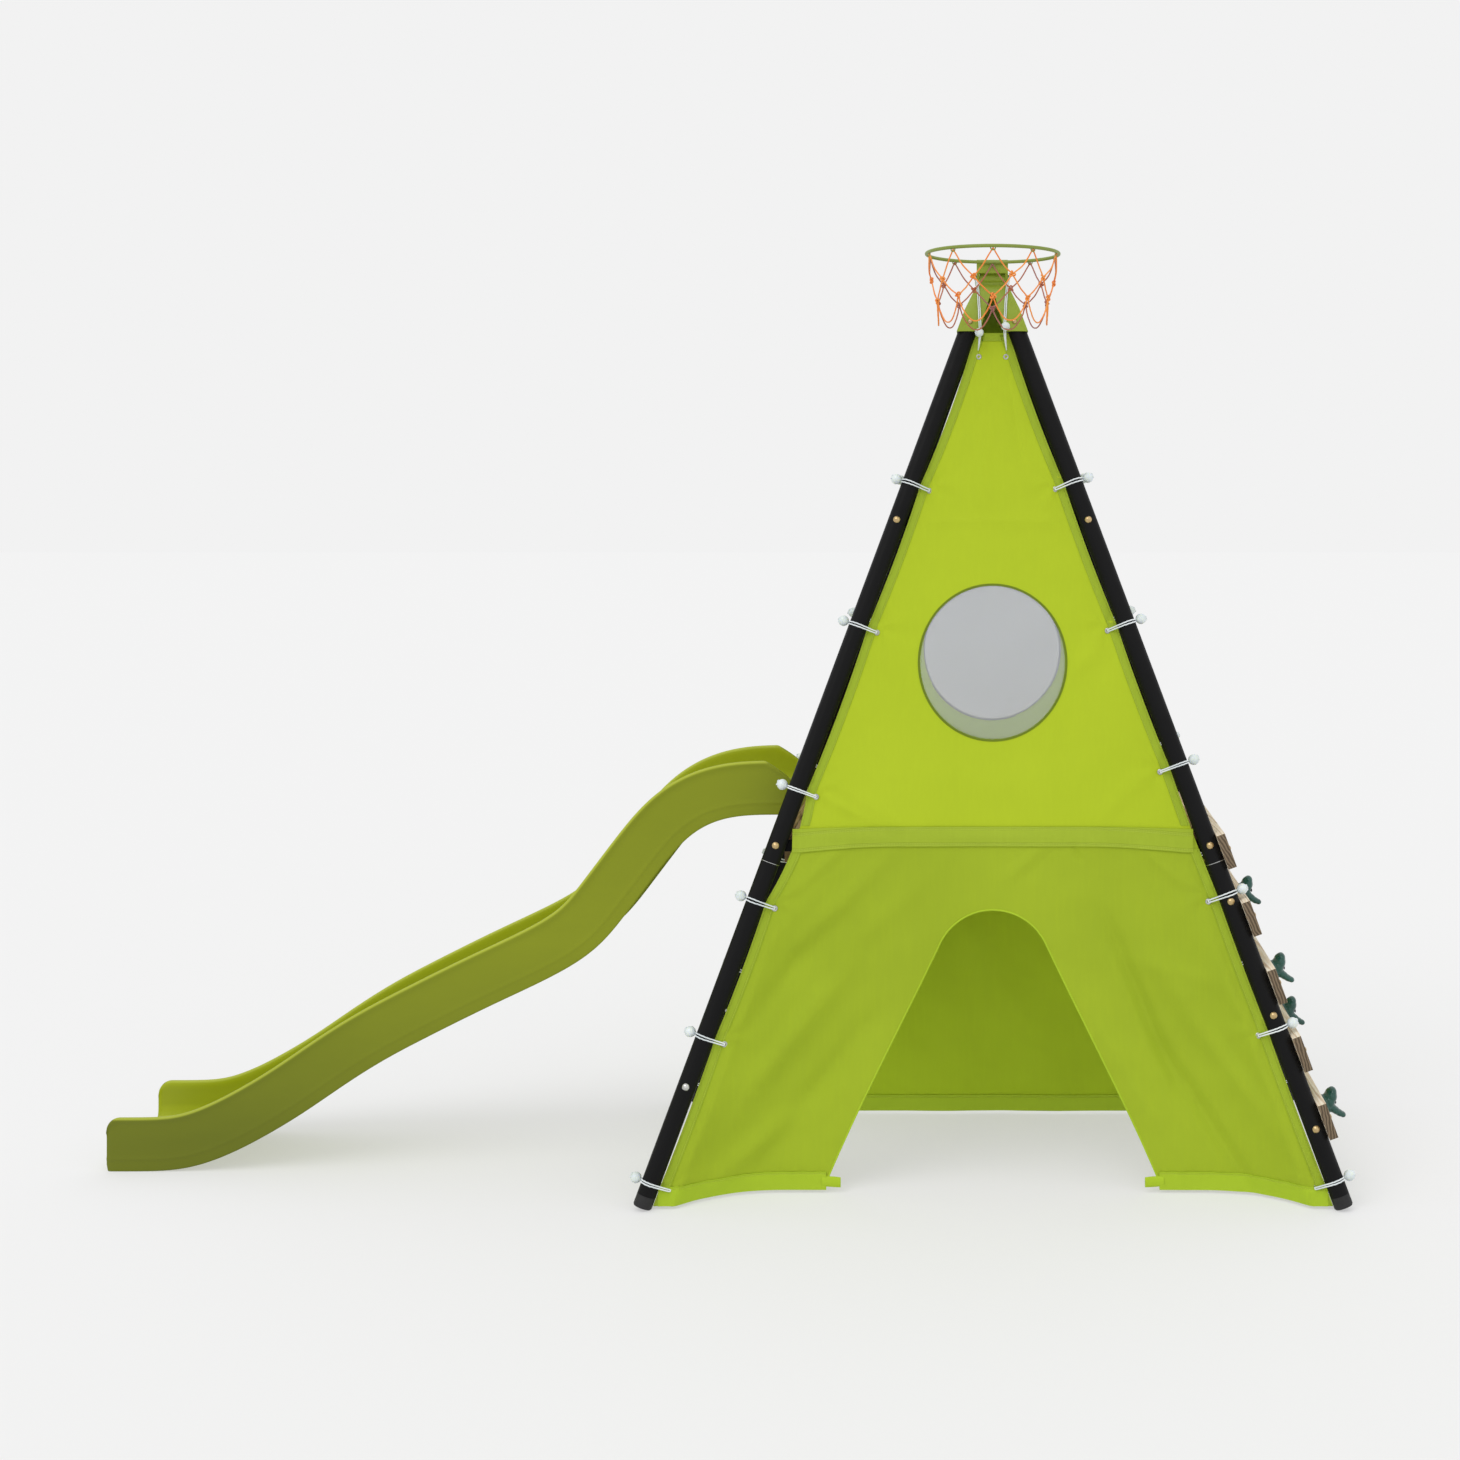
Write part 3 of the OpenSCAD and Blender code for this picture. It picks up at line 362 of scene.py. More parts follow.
ELASTIC = rope("tie_cord", (208, 216, 218), (232, 237, 238), 0.6, 1500)
NET_FRONT = rope("net_cord", (226, 118, 34), (240, 152, 62))
# painted shade: a darker, violet-tinted copy of the orange cord, for the strands on the net's far side
NET_BACK_SHADED = rope("net_cord_back_shaded", (176, 96, 60), (150, 96, 92))
CLOTH = fabric("cover_fabric", (193, 213, 41), (187, 208, 37), (205, 224, 60), 0.22)
CLOTH_LOWER = fabric("cover_fabric_lower", (174, 196, 42), (165, 187, 38), (190, 211, 56), 0.2)
CLOTH_BACK = fabric("cover_fabric_back", (194, 216, 48), (187, 209, 44), (206, 228, 64), 0.38)
BAND_ROWS = (0.004, 0.0075, 0.043, 0.047)
BAND = fabric("band_fabric", (166, 188, 48), (160, 182, 44), (190, 212, 74), 0.1, BAND_ROWS)
HEM = fabric("hem_fabric", (176, 204, 44), (170, 198, 40), (190, 214, 66), 0.12, (0.041,))
EDGE = fabric("edge_fabric", (168, 192, 48), (160, 184, 42), (190, 212, 70), 0.15, (0.003, 0.022))
BINDING = fabric("binding_fabric", (112, 130, 28), (102, 120, 24), (134, 150, 44), 0.05)


def film(name, hazy, clear, alpha):
    """Clear window film, a little hazy."""
    m = Look(name, Roughness=0.16, Specular_IOR_Level=0.5, Alpha=alpha, Coat_Weight=0.2)
    m.colour(m.mix(m.noise(5, 3), linear(hazy), linear(clear)))
    m.bump(m.noise(7, 3), 0.006, 0.3)
    m.mat.surface_render_method = "BLENDED"
    return m.mat


FILM = film("window_film", (204, 208, 212), (212, 216, 218), 0.2)
FILM_BACK = film("window_film_back", (164, 166, 182), (174, 176, 190), 0.48)


def bolt_finish():
    """Brass-plated bolts, and zinc on the bolts of the left legs' lower tubes."""
    m = Look("leg_bolt_finish", Metallic=1.0, Roughness=0.28)
    xyz = m.node("ShaderNodeSeparateXYZ", {0: m.coords})
    left = m.math("LESS_THAN", xyz.outputs["X"], FRAME_X)
    low = m.math("LESS_THAN", xyz.outputs["Z"], 0.5)
    warm = m.mix(m.noise(140, 5), linear((172, 144, 96)), linear((212, 188, 142)))
    cool = m.mix(m.noise(140, 5), linear((176, 176, 172)), linear((214, 214, 212)))
    m.colour(m.mix(m.math("MULTIPLY", left, low), warm, cool))
    m.rough(m.span(m.noise(400, 5, 0.7), 0.3, 0.7, 0.18, 0.4))
    m.bump(m.noise(1600, 3), 0.0001, 0.5)
    return m.mat


LEG_BOLT = bolt_finish()


# ---------- making pieces ----------
def crease(mesh, angle):
    """Shades a mesh smooth, with sharp edges over an angle in degrees."""
    mesh.shade_smooth()
    mesh.set_sharp_from_angle(angle=radians(angle))


def piece(name, verts, faces, mat, body="frame", uvs=None, sharp=40, flip=False):
    mesh = bpy.data.meshes.new(name)
    if flip:
        faces = [tuple(reversed(f)) for f in faces]
    mesh.from_pydata([tuple(v) for v in verts], [], faces)
    if uvs is not None:
        layer = mesh.uv_layers.new(name="UVMap")
        index = np.zeros(len(mesh.loops), np.int32)
        mesh.loops.foreach_get("vertex_index", index)
        layer.data.foreach_set("uv", np.asarray(uvs, np.float32)[index].ravel())
    mesh.validate()
    crease(mesh, sharp)
    mesh.materials.append(mat)
    obj = placed(name, mesh)
    if body:
        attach(obj, body)
    return obj


def applied(obj, *modifiers):
    """Adds modifiers given as (type, {settings}) and applies them."""
    for kind, settings in modifiers:
        mod = obj.modifiers.new(kind, kind)
        for k, v in settings.items():
            setattr(mod, k, v)
    bpy.context.view_layer.update()
    shown = obj.evaluated_get(bpy.context.evaluated_depsgraph_get())
    mesh = bpy.data.meshes.new_from_object(shown)
    obj.modifiers.clear()
    old, obj.data = obj.data, mesh
    bpy.data.meshes.remove(old)
    return obj


def thickened(obj, thick):
    """Gives a one-sided sheet its thickness, and lets it ride on the frame."""
    applied(obj, ("SOLIDIFY", {"thickness": thick, "offset": 0.0}))
    crease(obj.data, 60)
    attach(obj, "frame")
    return obj


class Parts:
    """Collects many small meshes into one."""

    def __init__(self):
        self.verts, self.faces, self.uvs = [], [], []

    def add(self, verts, faces, matrix=None, uvs=None):
        start = len(self.verts)
        turned = matrix is not None and matrix.determinant() < 0
        for v in verts:
            self.verts.append(matrix @ Vector(v) if matrix is not None else Vector(v))
        for f in faces:
            f = tuple(start + i for i in f)
            self.faces.append(tuple(reversed(f)) if turned else f)
        self.uvs += list(uvs) if uvs is not None else [(0, 0)] * len(verts)
        return self

    def make(self, name, mat, slot, body="frame", sharp=40):
        return piece(name, self.verts, self.faces, mat, body, self.uvs, sharp)


def lathe(profile, sides):
    """Faces of a closed profile of (radius, height) turned about Z."""
    verts, faces, n = [], [], len(profile)
    for j in range(sides):
        a = 2 * pi * j / sides
        verts += [(r * cos(a), r * sin(a), z) for r, z in profile]
        faces += row_faces(j * n, (j + 1) % sides * n, n)
    return verts, faces


def sweep(path, radius, sides=8, closed=False, lobes=0, turns=0.0):
    """Tube along path. lobes is the number of its twisted strands, and turns their twist per metre."""
    path = [Vector(p) for p in path]
    n = len(path)
    verts, faces = [], []
    side = None
    travelled = 0.0
    for i, p in enumerate(path):
        before = path[i - 1] if i or closed else p
        after = path[(i + 1) % n] if i < n - 1 or closed else p
        along = (after - before).normalized()
        if i:
            travelled += (p - path[i - 1]).length
        if side is None:
            side = along.orthogonal().normalized()
        side = (side - along * side.dot(along)).normalized()
        up = along.cross(side)
        for j in range(sides):
            a = 2 * pi * j / sides
            r = radius
            if lobes:
                r *= 1 + 0.17 * cos(lobes * a - turns * travelled)
            verts.append(p + side * (r * cos(a)) + up * (r * sin(a)))
    for i in range(n if closed else n - 1):
        k = (i + 1) % n
        for j in range(sides):
            j2 = (j + 1) % sides
            faces.append((i * sides + j, i * sides + j2, k * sides + j2, k * sides + j))
    if not closed:
        faces.append(tuple(range(sides - 1, -1, -1)))
        faces.append(tuple(range((n - 1) * sides, n * sides)))
    return verts, faces


def smooth_path(points, steps, closed=False):
    """Smooth curve through points, with steps points to a span."""
    points = [Vector(p) for p in points]
    n = len(points)

    def at(k):
        return points[k % n] if closed else points[max(0, min(n - 1, k))]

    out = []
    for i in range(n if closed else n - 1):
        out += [catmull(at(i - 1), at(i), at(i + 1), at(i + 2), j / steps) for j in range(steps)]
    return out if closed else out + [points[-1]]


def knot_path(out, loop, lift, count):
    """Closed overhand knot of count points."""
    turns = [2 * pi * k / count for k in range(count)]
    return [
        Vector((
            out * sin(t) + loop * sin(2 * t),
            out * cos(t) - loop * cos(2 * t),
            -lift * sin(3 * t),
        ))
        for t in turns
    ]


def eased(name, mat, width, body="frame"):
    """A copy of a CAD node with rounded edges, which stands for it."""
    mesh = nodes[name].data.copy()
    b = bmesh.new()
    b.from_mesh(mesh)
    bmesh.ops.remove_doubles(b, verts=b.verts, dist=1e-6)
    bmesh.ops.dissolve_limit(b, angle_limit=radians(1), verts=b.verts, edges=b.edges)
    b.to_mesh(mesh)
    b.free()
    obj = placed("eased_" + name, mesh)
    limits = {"limit_method": "ANGLE", "angle_limit": radians(50)}
    applied(obj, ("BEVEL", {"width": width, "segments": 2, **limits}))
    crease(obj.data, 38)
    obj.data.materials.clear()
    obj.data.materials.append(mat)
    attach(obj, body)
    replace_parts(obj, name)
    return obj


def keep(node, mat):
    """Gives a CAD node its material."""
    nodes[node].data.materials.clear()
    nodes[node].data.materials.append(mat)


TUBES = ("leg_lower", "leg_upper", "platform_crossbar", "upper_crossbar")
FINISHES = {
    "foot_caps": CAP_BLACK, "leg_bolts": LEG_BOLT, "cap_bolts": BRASS, "deck_screws": BRASS,
    "slat_bolts": BRASS, "slide_bolts": BRASS, "leg_nuts": DARK_STEEL, "hold_bolts": DARK_STEEL,
    "hoop_pivot_bolt": DARK_STEEL, "hoop_ring": HOOP_STEEL, "net_hooks": HOOP_STEEL,
}
BOARD_ROUND, SHEET_STEEL_ROUND = 0.0025, 0.0012

for n in sorted(nodes):
    if n.startswith(TUBES):
        keep(n, STEEL)
    elif n in FINISHES:
        keep(n, FINISHES[n])
    elif n.startswith(("deck_board", "platform_rim")):
        eased(n, DECK_WOOD, BOARD_ROUND)
    elif n.startswith("climbing_slat"):
        eased(n, SLAT_WOOD, BOARD_ROUND)
eased("apex_cap", GREEN_STEEL, SHEET_STEEL_ROUND)
eased("hoop_bracket", GREEN_STEEL, SHEET_STEEL_ROUND, "hoop")


# ---------- cloth surfaces ----------
def edge_x(h):
    return leg_x(h) - EDGE_IN / cos(LEG_A)


def side_x(h, right):
    """The cloth's edge, which draws in a little between two ties."""
    heights, depths = (TIES_RIGHT, SCALLOPS_RIGHT) if right else (TIES_LEFT, SCALLOPS_LEFT)
    drawn = 0.0
    for a, b, depth in zip(heights, heights[1:], depths):
        t = clamp((h - a) / (b - a))
        drawn = drawn + depth * 4 * t * (1 - t)
    return edge_x(h) + 0.0018 - drawn


def hang(inside):
    """How far towards upright a lower panel hangs, from 0 at its tied edges."""
    return 0.75 * (1 - (1 - clamp((inside - 0.050) / 0.26)) ** 2.2)


def ridge(x, h, a, b, width, height):
    """A soft fold from point a to point b, fading at both ends."""
    dx, dh = b[0] - a[0], b[1] - a[1]
    length = hypot(dx, dh)
    t = ((x - a[0]) * dx + (h - a[1]) * dh) / length ** 2
    d = ((x - a[0]) * dh - (h - a[1]) * dx) / length
    fade = np.sin(pi * clamp(t)) ** 0.8
    return height * np.exp(-((d / width) ** 2)) * fade


def tie_star(x, h, back):
    """Small folds that run out from each eyelet."""
    out = np.zeros_like(x)
    start = 1 if back else 0
    for right, heights in ((False, TIES_LEFT), (True, TIES_RIGHT)):
        for i, th in enumerate(heights[:-1]):
            ex = (leg_x(th) - EYELET_IN / cos(LEG_A)) * (1 if right else -1)
            dx, dh = x - ex, h - th
            r = np.hypot(dx, dh)
            a = np.arctan2(dh, dx * (-1 if right else 1))
            out += 0.0030 * np.exp(-r / 0.075) * clamp(r / 0.02) * np.cos(5 * a + 1.3 * i + start)
    return out


def soft_noise(x, h, seed, size):
    """Smooth, repeatable unevenness made of a few plane waves."""
    rng = np.random.default_rng(seed)
    out = np.zeros_like(x)
    for _ in range(9):
        a, p = rng.uniform(0, pi), rng.uniform(0, 2 * pi)
        k = 2 * pi / (size * rng.uniform(0.6, 1.7))
        out += np.sin(k * (x * cos(a) + h * sin(a)) + p)
    return out / 9


# folds as (one end, other end, width, height), with ends (x, h) on the cover
LEFT_FOLDS = [
    ((-0.36, 0.895), (-0.60, 0.69), 0.016, 0.006), ((-0.47, 0.895), (-0.60, 0.76), 0.012, -0.005),
    ((-0.24, 0.88), (-0.52, 0.60), 0.024, 0.006), ((-0.10, 0.86), (-0.44, 0.55), 0.030, 0.004),
    ((-0.33, 0.62), (-0.70, 0.16), 0.034, 0.012), ((-0.26, 0.50), (-0.62, 0.05), 0.030, -0.009),
    ((-0.38, 0.72), (-0.77, 0.28), 0.030, -0.010), ((-0.44, 0.78), (-0.80, 0.40), 0.022, 0.007),
    ((-0.45, 0.24), (-0.74, 0.02), 0.030, 0.010), ((-0.60, 0.36), (-0.82, 0.09), 0.026, 0.008),
]
RIGHT_FOLDS = [
    ((0.27, 0.74), (0.50, 0.20), 0.018, -0.011), ((0.40, 0.42), (0.68, -0.02), 0.020, -0.011),
    ((0.33, 0.70), (0.74, 0.16), 0.040, 0.013), ((0.50, 0.50), (0.86, 0.05), 0.026, -0.012),
    ((0.50, 0.74), (0.84, 0.12), 0.036, 0.012), ((0.18, 0.56), (0.52, 0.03), 0.030, 0.007),
    ((0.44, 0.89), (0.58, 0.77), 0.010, -0.006), ((0.36, 0.89), (0.60, 0.70), 0.018, 0.006),
    ((0.20, 0.885), (0.23, 0.83), 0.008, -0.004), ((0.14, 0.885), (0.02, 0.78), 0.018, 0.005),
    ((0.30, 0.60), (0.72, 0.50), 0.020, 0.003),
]
BACK_FOLDS = [
    ((-0.55, 0.80), (-0.10, 0.10), 0.05, 0.010), ((0.55, 0.80), (0.15, 0.12), 0.05, 0.010),
    ((-0.25, 0.88), (0.20, 0.05), 0.06, -0.008), ((0.35, 0.88), (0.62, 0.10), 0.04, 0.008),
    ((-0.40, 0.85), (-0.70, 0.12), 0.04, 0.008), ((0.0, 0.85), (-0.35, 0.04), 0.05, 0.007),
]
UPPER_FOLDS = [
    ((-0.49, 1.03), (-0.30, 0.93), 0.010, 0.005), ((-0.45, 1.06), (-0.20, 0.90), 0.02, 0.003),
    ((0.43, 1.10), (0.25, 0.92), 0.022, 0.003), ((-0.33, 1.42), (-0.20, 1.55), 0.02, 0.002),
    ((0.34, 1.42), (0.18, 1.30), 0.020, 0.003), ((-0.28, 1.05), (0.30, 1.02), 0.05, 0.003),
    ((0.0, 2.19), (-0.03, 1.75), 0.02, 0.002), ((0.03, 2.19), (0.08, 1.85), 0.008, -0.004),
]


def drape(x, h, lower, back):
    """Y of a cover's cloth in the front's sense, outwards negative, with its folds."""
    x, h = np.asarray(x, float), np.asarray(h, float)
    y = -leg_y(h)
    inside = edge_x(h) - np.abs(x)
    if lower:
        y = y + hang(inside) * (leg_y(h) - leg_y(SEAM_H))
    folds = (BACK_FOLDS if back else LEFT_FOLDS + RIGHT_FOLDS) if lower else UPPER_FOLDS
    out = sum(ridge(x, h, *f) for f in folds) * 1.3
    out = out + soft_noise(x, h, 3 if back else 1, 0.30) * (0.006 if lower else 0.003)
    out = out + soft_noise(x, h, 5 if back else 2, 0.11) * (0.0022 if lower else 0.0010)
    out = out * clamp((inside - 0.034) / 0.09) + tie_star(x, h, back)
    if lower:
        out = out * clamp((SEAM_H - h) / 0.02)
        near_hem = np.exp(-(((h - 0.055) / 0.014) ** 2))
        out = out + near_hem * 0.0014 * np.sin(2 * pi * x / 0.037 + 2 * np.sin(x * 31))
    else:
        out = out * clamp((h - SEAM_H) / 0.02)
        bar = np.exp(-(((h - 1.709) / 0.012) ** 2))
        out = out + 0.0022 * bar * clamp((0.20 - np.abs(x)) / 0.05)
        out = out * clamp(np.abs(np.hypot(x / WINDOW_RX, (h - WINDOW_H) / WINDOW_RZ) - 1) / 0.15, 0.15, 1)
    return y - out


def door_x(h):
    """Half the doorway's width at height h."""
    h = np.asarray(h, float)
    t = clamp(h / TOUCH_H)
    leg = DOOR_FOOT + (TOUCH_X - DOOR_FOOT) * t + DOOR_BOW * 6.75 * t * (1 - t) ** 2
    arch = np.sqrt(np.maximum(0, ARCH_R ** 2 - (h - ARCH_H) ** 2))
    return np.where(h <= TOUCH_H, leg, np.where(h >= ARCH_H + ARCH_R, 0, arch))


def to_world(x, h, y, back):
    """Points of the front's sense at x, y and height h, turned round for the back."""
    y = np.asarray(y)
    return np.stack([np.asarray(x) + FRAME_X, -y if back else y, np.asarray(h) + 0 * y], axis=-1)


def onto_oval(x, h, centre, rx, rz):
    """x and h moved onto the edge of an oval, along lines from its centre."""
    r = np.hypot(x / rx, (h - centre) / rz)
    r = np.where(r < 1e-6, 1, r)
    return x / r, centre + (h - centre) / r


def panel(name, back, lower, cols, rows, mat):
    """A cover panel as one sheet, with its doorway or window left open, and its flat area."""
    low, high = (HEM_H, SEAM_H) if lower else (SEAM_H, TOP_H)
    h = np.repeat(np.linspace(low, high, rows)[:, None], cols, 1)
    s = np.repeat(np.linspace(0, 1, cols)[None, :], rows, 0)
    left, right = -side_x(h, False), side_x(h, True)
    x = left + (right - left) * s
    mid_x = (x[:-1, :-1] + x[1:, 1:]) / 2
    mid_h = (h[:-1, :-1] + h[1:, 1:]) / 2
    if not lower:
        hole = np.hypot(mid_x / WINDOW_RX, (mid_h - WINDOW_H) / WINDOW_RZ) < 1
    elif back:
        hole = np.zeros_like(mid_x, bool)
    else:
        hole = np.abs(mid_x) < door_x(mid_h)
    kept = ~hole
    touch_kept = np.zeros((rows, cols), bool)
    touch_hole = np.zeros((rows, cols), bool)
    for dj in (0, 1):
        for di in (0, 1):
            touch_kept[dj:rows - 1 + dj, di:cols - 1 + di] |= kept
            touch_hole[dj:rows - 1 + dj, di:cols - 1 + di] |= hole
    rim = touch_kept & touch_hole
    if not lower:
        wx, wh = onto_oval(x, h, WINDOW_H, WINDOW_RX, WINDOW_RZ)
        x, h = np.where(rim, wx, x), np.where(rim, wh, h)
    elif not back:
        ax, ah = onto_oval(x, h, ARCH_H, ARCH_R, ARCH_R)
        arch = rim & (h > TOUCH_H)
        legs = rim & (h <= TOUCH_H)
        x, h = np.where(arch, ax, x), np.where(arch, ah, h)
        x = np.where(legs, np.sign(x) * door_x(h), x)
    verts = to_world(x, h, drape(x, h, lower, back), back).reshape(-1, 3)
    corners = [j * cols + i for j, i in np.argwhere(kept)]
    faces = [(a, a + 1, a + cols + 1, a + cols) for a in corners]
    used = sorted({i for f in faces for i in f})
    new = {old: k for k, old in enumerate(used)}
    faces = [tuple(new[i] for i in f) for f in faces]
    uvs = np.stack([x, h], -1).reshape(-1, 2)[used]
    wide = (x[:-1, 1:] - x[:-1, :-1] + x[1:, 1:] - x[1:, :-1]) / 2
    tall = (h[1:, :-1] - h[:-1, :-1]) / cos(FACE_A)
    obj = piece(name, verts[used], faces, mat, None, uvs, 180, flip=back)
    return thickened(obj, 0.0011), float((wide * tall)[kept].sum())


def strip(name, lines, back, mat, lifts=(0.0016,), thick=0.0012, cols=5):
    """Ribbons on the cloth between two lines of (x, h) points, each lying one of lifts off it, outwards."""
    parts = Parts()
    for (first, second), lift in [(line, lift) for line in lines for lift in lifts]:
        run = np.concatenate([[0], np.cumsum(np.hypot(*np.diff(first, axis=0).T))])
        grid, uvs, faces = [], [], []
        for k, along in enumerate(run):
            wide = hypot(*(second[k] - first[k]))
            for j in range(cols):
                x, h = first[k] + (second[k] - first[k]) * j / (cols - 1)
                grid.append(to_world(x, h, float(drape(x, h, h < SEAM_H, back)) - lift, back))
                uvs.append((along, wide * j / (cols - 1)))
            if k:
                faces += row_faces((k - 1) * cols, k * cols, cols, False)
        parts.add(grid, faces, None, uvs)
    return thickened(parts.make(name, mat, "cover_fabric", None, 180), thick)


def side_lines(low, high, width, step=0.012):
    """Lines of the two side hems between two heights."""
    lines = []
    hs = np.linspace(low, high, int((high - low) / step))
    for sign, right in ((-1, False), (1, True)):
        outer = side_x(hs, right) + 0.0006
        lines.append((np.stack([sign * outer, hs], -1), np.stack([sign * (outer - width), hs], -1)))
    return lines


def level_line(x, low, high):
    """Lines of one ribbon that runs along x between two heights."""
    return np.stack([x, 0 * x + low], -1), np.stack([x, 0 * x + high], -1)


def cover(back, bound):
    """One face's two panels with their hems and seam band. bound, the window's binding, is not used."""
    side = SIDES[back]
    lower_mat, upper_mat = (CLOTH_BACK, CLOTH_BACK) if back else (CLOTH_LOWER, CLOTH)
    lower, lower_area = panel(f"cloth_{side}_lower", back, True, 190, 104, lower_mat)
    upper, upper_area = panel(f"cloth_{side}_upper", back, False, 120, 150, upper_mat)
    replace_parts(lower, f"{side}_cover_lower")
    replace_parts(upper, f"{side}_cover_upper")
    lines = side_lines(HEM_H + 0.002, SEAM_H - 0.03, 0.026)
    side_hems = strip(f"{side}_side_hems", lines, back, EDGE)
    lines = side_lines(SEAM_H + 0.028, TOP_H - 0.004, 0.024)
    upper_side_hems = strip(f"{side}_upper_side_hems", lines, back, EDGE)
    left, right = [float(side_x(0.03, r)) - 0.004 for r in (False, True)]
    if back:
        xs = [np.linspace(-left, right, 150)]
    else:
        foot = float(door_x(0.03)) + 0.001
        xs = [-np.linspace(foot, left, 46), np.linspace(foot, right, 46)]
    lines = [level_line(x, HEM_H, HEM_H + 0.046) for x in xs]
    bottom_hem = strip(f"{side}_bottom_hem", lines, back, HEM, (0.0022, -0.0022), 0.0016)
    at_top = float(edge_x(TOP_H)) - 0.001
    lines = [level_line(np.linspace(-1, 1, 90) * at_top, TOP_H - 0.022, TOP_H)]
    top_hem = strip(f"{side}_top_hem", lines, back, EDGE)
    half = float(edge_x(SEAM_H)) - 0.004
    x = np.linspace(-half, half, 130)
    droop = 0.016 * clamp((np.abs(x) - 0.25) / 0.24) ** 1.6
    lines = [level_line(x, 0.8755 - droop * 0.9, 0.9255 - droop * 0.35)]
    band = strip(f"{side}_band", lines, back, BAND, (0.0032,), 0.0018, 9)
    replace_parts(band, f"{side}_seam_band")


def window(back):
    """A window's rolled binding, and its film, which laps under the binding."""
    side = SIDES[back]
    sides, rings, lap = 96, 14, 1.012
    angles = [2 * pi * k / sides for k in range(sides)]
    profile = [
        (-0.0030, 0.0008), (-0.0026, 0.0019), (-0.0010, 0.0026), (0.0010, 0.0026),
        (0.0026, 0.0019), (0.0030, 0.0008), (0.0026, 0.0002), (-0.0026, 0.0002),
    ]
    n = len(profile)
    verts, faces, uvs = [], [], []
    for k, a in enumerate(angles):
        for r, lift in profile:
            x, h = (WINDOW_RX + r) * cos(a), WINDOW_H + (WINDOW_RZ + r) * sin(a)
            verts.append(to_world(x, h, float(drape(x, h, False, back)) - lift, back))
            uvs.append((a * WINDOW_RX, r + 0.003))
        faces += row_faces(k * n, (k + 1) % sides * n, n)
    bound = piece(f"{side}_binding", verts, faces, BINDING, "frame", uvs)
    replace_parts(bound, f"{side}_window_binding")
    verts = [to_world(0, WINDOW_H, -leg_y(WINDOW_H), back)]
    faces = [(0, 1 + k, 1 + (k + 1) % sides) for k in range(sides)]
    for j in range(rings):
        t = (j + 1) / rings
        for a in angles:
            x, h = WINDOW_RX * lap * t * cos(a), WINDOW_H + WINDOW_RZ * lap * t * sin(a)
            y = -leg_y(h) + 0.0022 * sin(3 * a + 1) * t * t * sin(2.2 * pi * t) + 0.0008
            verts.append(to_world(x, h, y, back))
        if j:
            faces += row_faces(1 + (j - 1) * sides, 1 + j * sides, sides)
    mat = FILM_BACK if back else FILM
    clear = piece(f"{side}_film", verts, faces, mat, None, None, 180, flip=back)
    applied(clear, ("SOLIDIFY", {"thickness": 0.0005, "offset": 0.0}))
    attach(clear, "frame")
    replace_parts(clear, f"{side}_window_film")
    return bound


def eyelets(back):
    """Rolled metal grommets on both faces of the cloth."""
    profile = [
        (0.0032, -0.0014), (0.0030, 0.0), (0.0032, 0.0014), (0.0042, 0.0024),
        (0.0058, 0.0026), (0.0074, 0.0018), (0.0079, 0.0008), (0.0076, 0.0),
        (0.0079, -0.0008), (0.0074, -0.0018), (0.0058, -0.0026), (0.0042, -0.0024),
    ]
    verts, faces = lathe(profile, 26)
    parts = Parts()
    for right, heights in ((False, TIES_LEFT), (True, TIES_RIGHT)):
        for h in heights:
            m = on_leg(right, back, h) @ shift((-EYELET_IN, 0, 0))
            at = m.translation
            y = float(drape(at.x - FRAME_X, at.z, at.z < SEAM_H, back))
            to_cloth = shift((0, (-y if back else y) - at.y, 0))
            parts.add(verts, faces, to_cloth @ m @ spin(pi / 2, 4, "X"))
    obj = parts.make(f"{SIDES[back]}_grommets", NICKEL, "eyelet_metal")
    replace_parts(obj, f"{SIDES[back]}_eyelets")


def tie_paths(gap):
    """Front and back strands of a tie, from its eyelet round the tube to its ball."""
    r = TUBE_R + 0.0021
    touch = pi - acos(r / EYELET_IN)
    out = []
    for face in (-1, 1):
        pts = [
            (-EYELET_IN, -0.0045 * face), (-EYELET_IN, 0.0010 * face), (-EYELET_IN + 0.004, 0.0056 * face)
        ]
        angles = [touch * (1 - k / 8) for k in range(9)]
        pts += [(r * cos(a), face * r * sin(a)) for a in angles]
        pts.append((BALL_OUT - 0.006, 0.0006 * face))
        n = len(pts) - 1
        for z in (-1, 1):
            apart = [z * gap * sin(pi * i / n) ** 0.7 + z * 0.0012 for i in range(n + 1)]
            out.append([(x, y, dz) for (x, y), dz in zip(pts, apart)])
    return out


def top_tie_paths(start_x, sign, back):
    """The two strands of a top tie, from its eyelet over the cap to the hoop's cross bolt."""
    out = 1 if back else -1
    face_y = leg_y(2.17)
    paths = []
    for z in (-1, 1):
        pts = [
            (start_x, out * (face_y - 0.004), 2.165), (start_x, out * (face_y + 0.004), 2.168),
            (sign * 0.033 + z * 0.0021, out * 0.0855, 2.210),
            (sign * 0.035 + z * 0.0021, out * 0.0745, 2.272),
            (sign * 0.040 + z * 0.0018, out * 0.0465, 2.342),
        ]
        if back:
            pts += [(sign * 0.0450, 0.012, 2.349), (sign * 0.0460, -0.020, 2.368)]
        else:
            pts += [(sign * 0.0460, -0.0440, 2.366)]
        pts += [(sign * 0.0462, -0.034, 2.3745), (sign * 0.0462, -0.030 - 0.008 * back, 2.3740)]
        paths.append([(x + FRAME_X, y, h) for x, y, h in pts])
    return paths


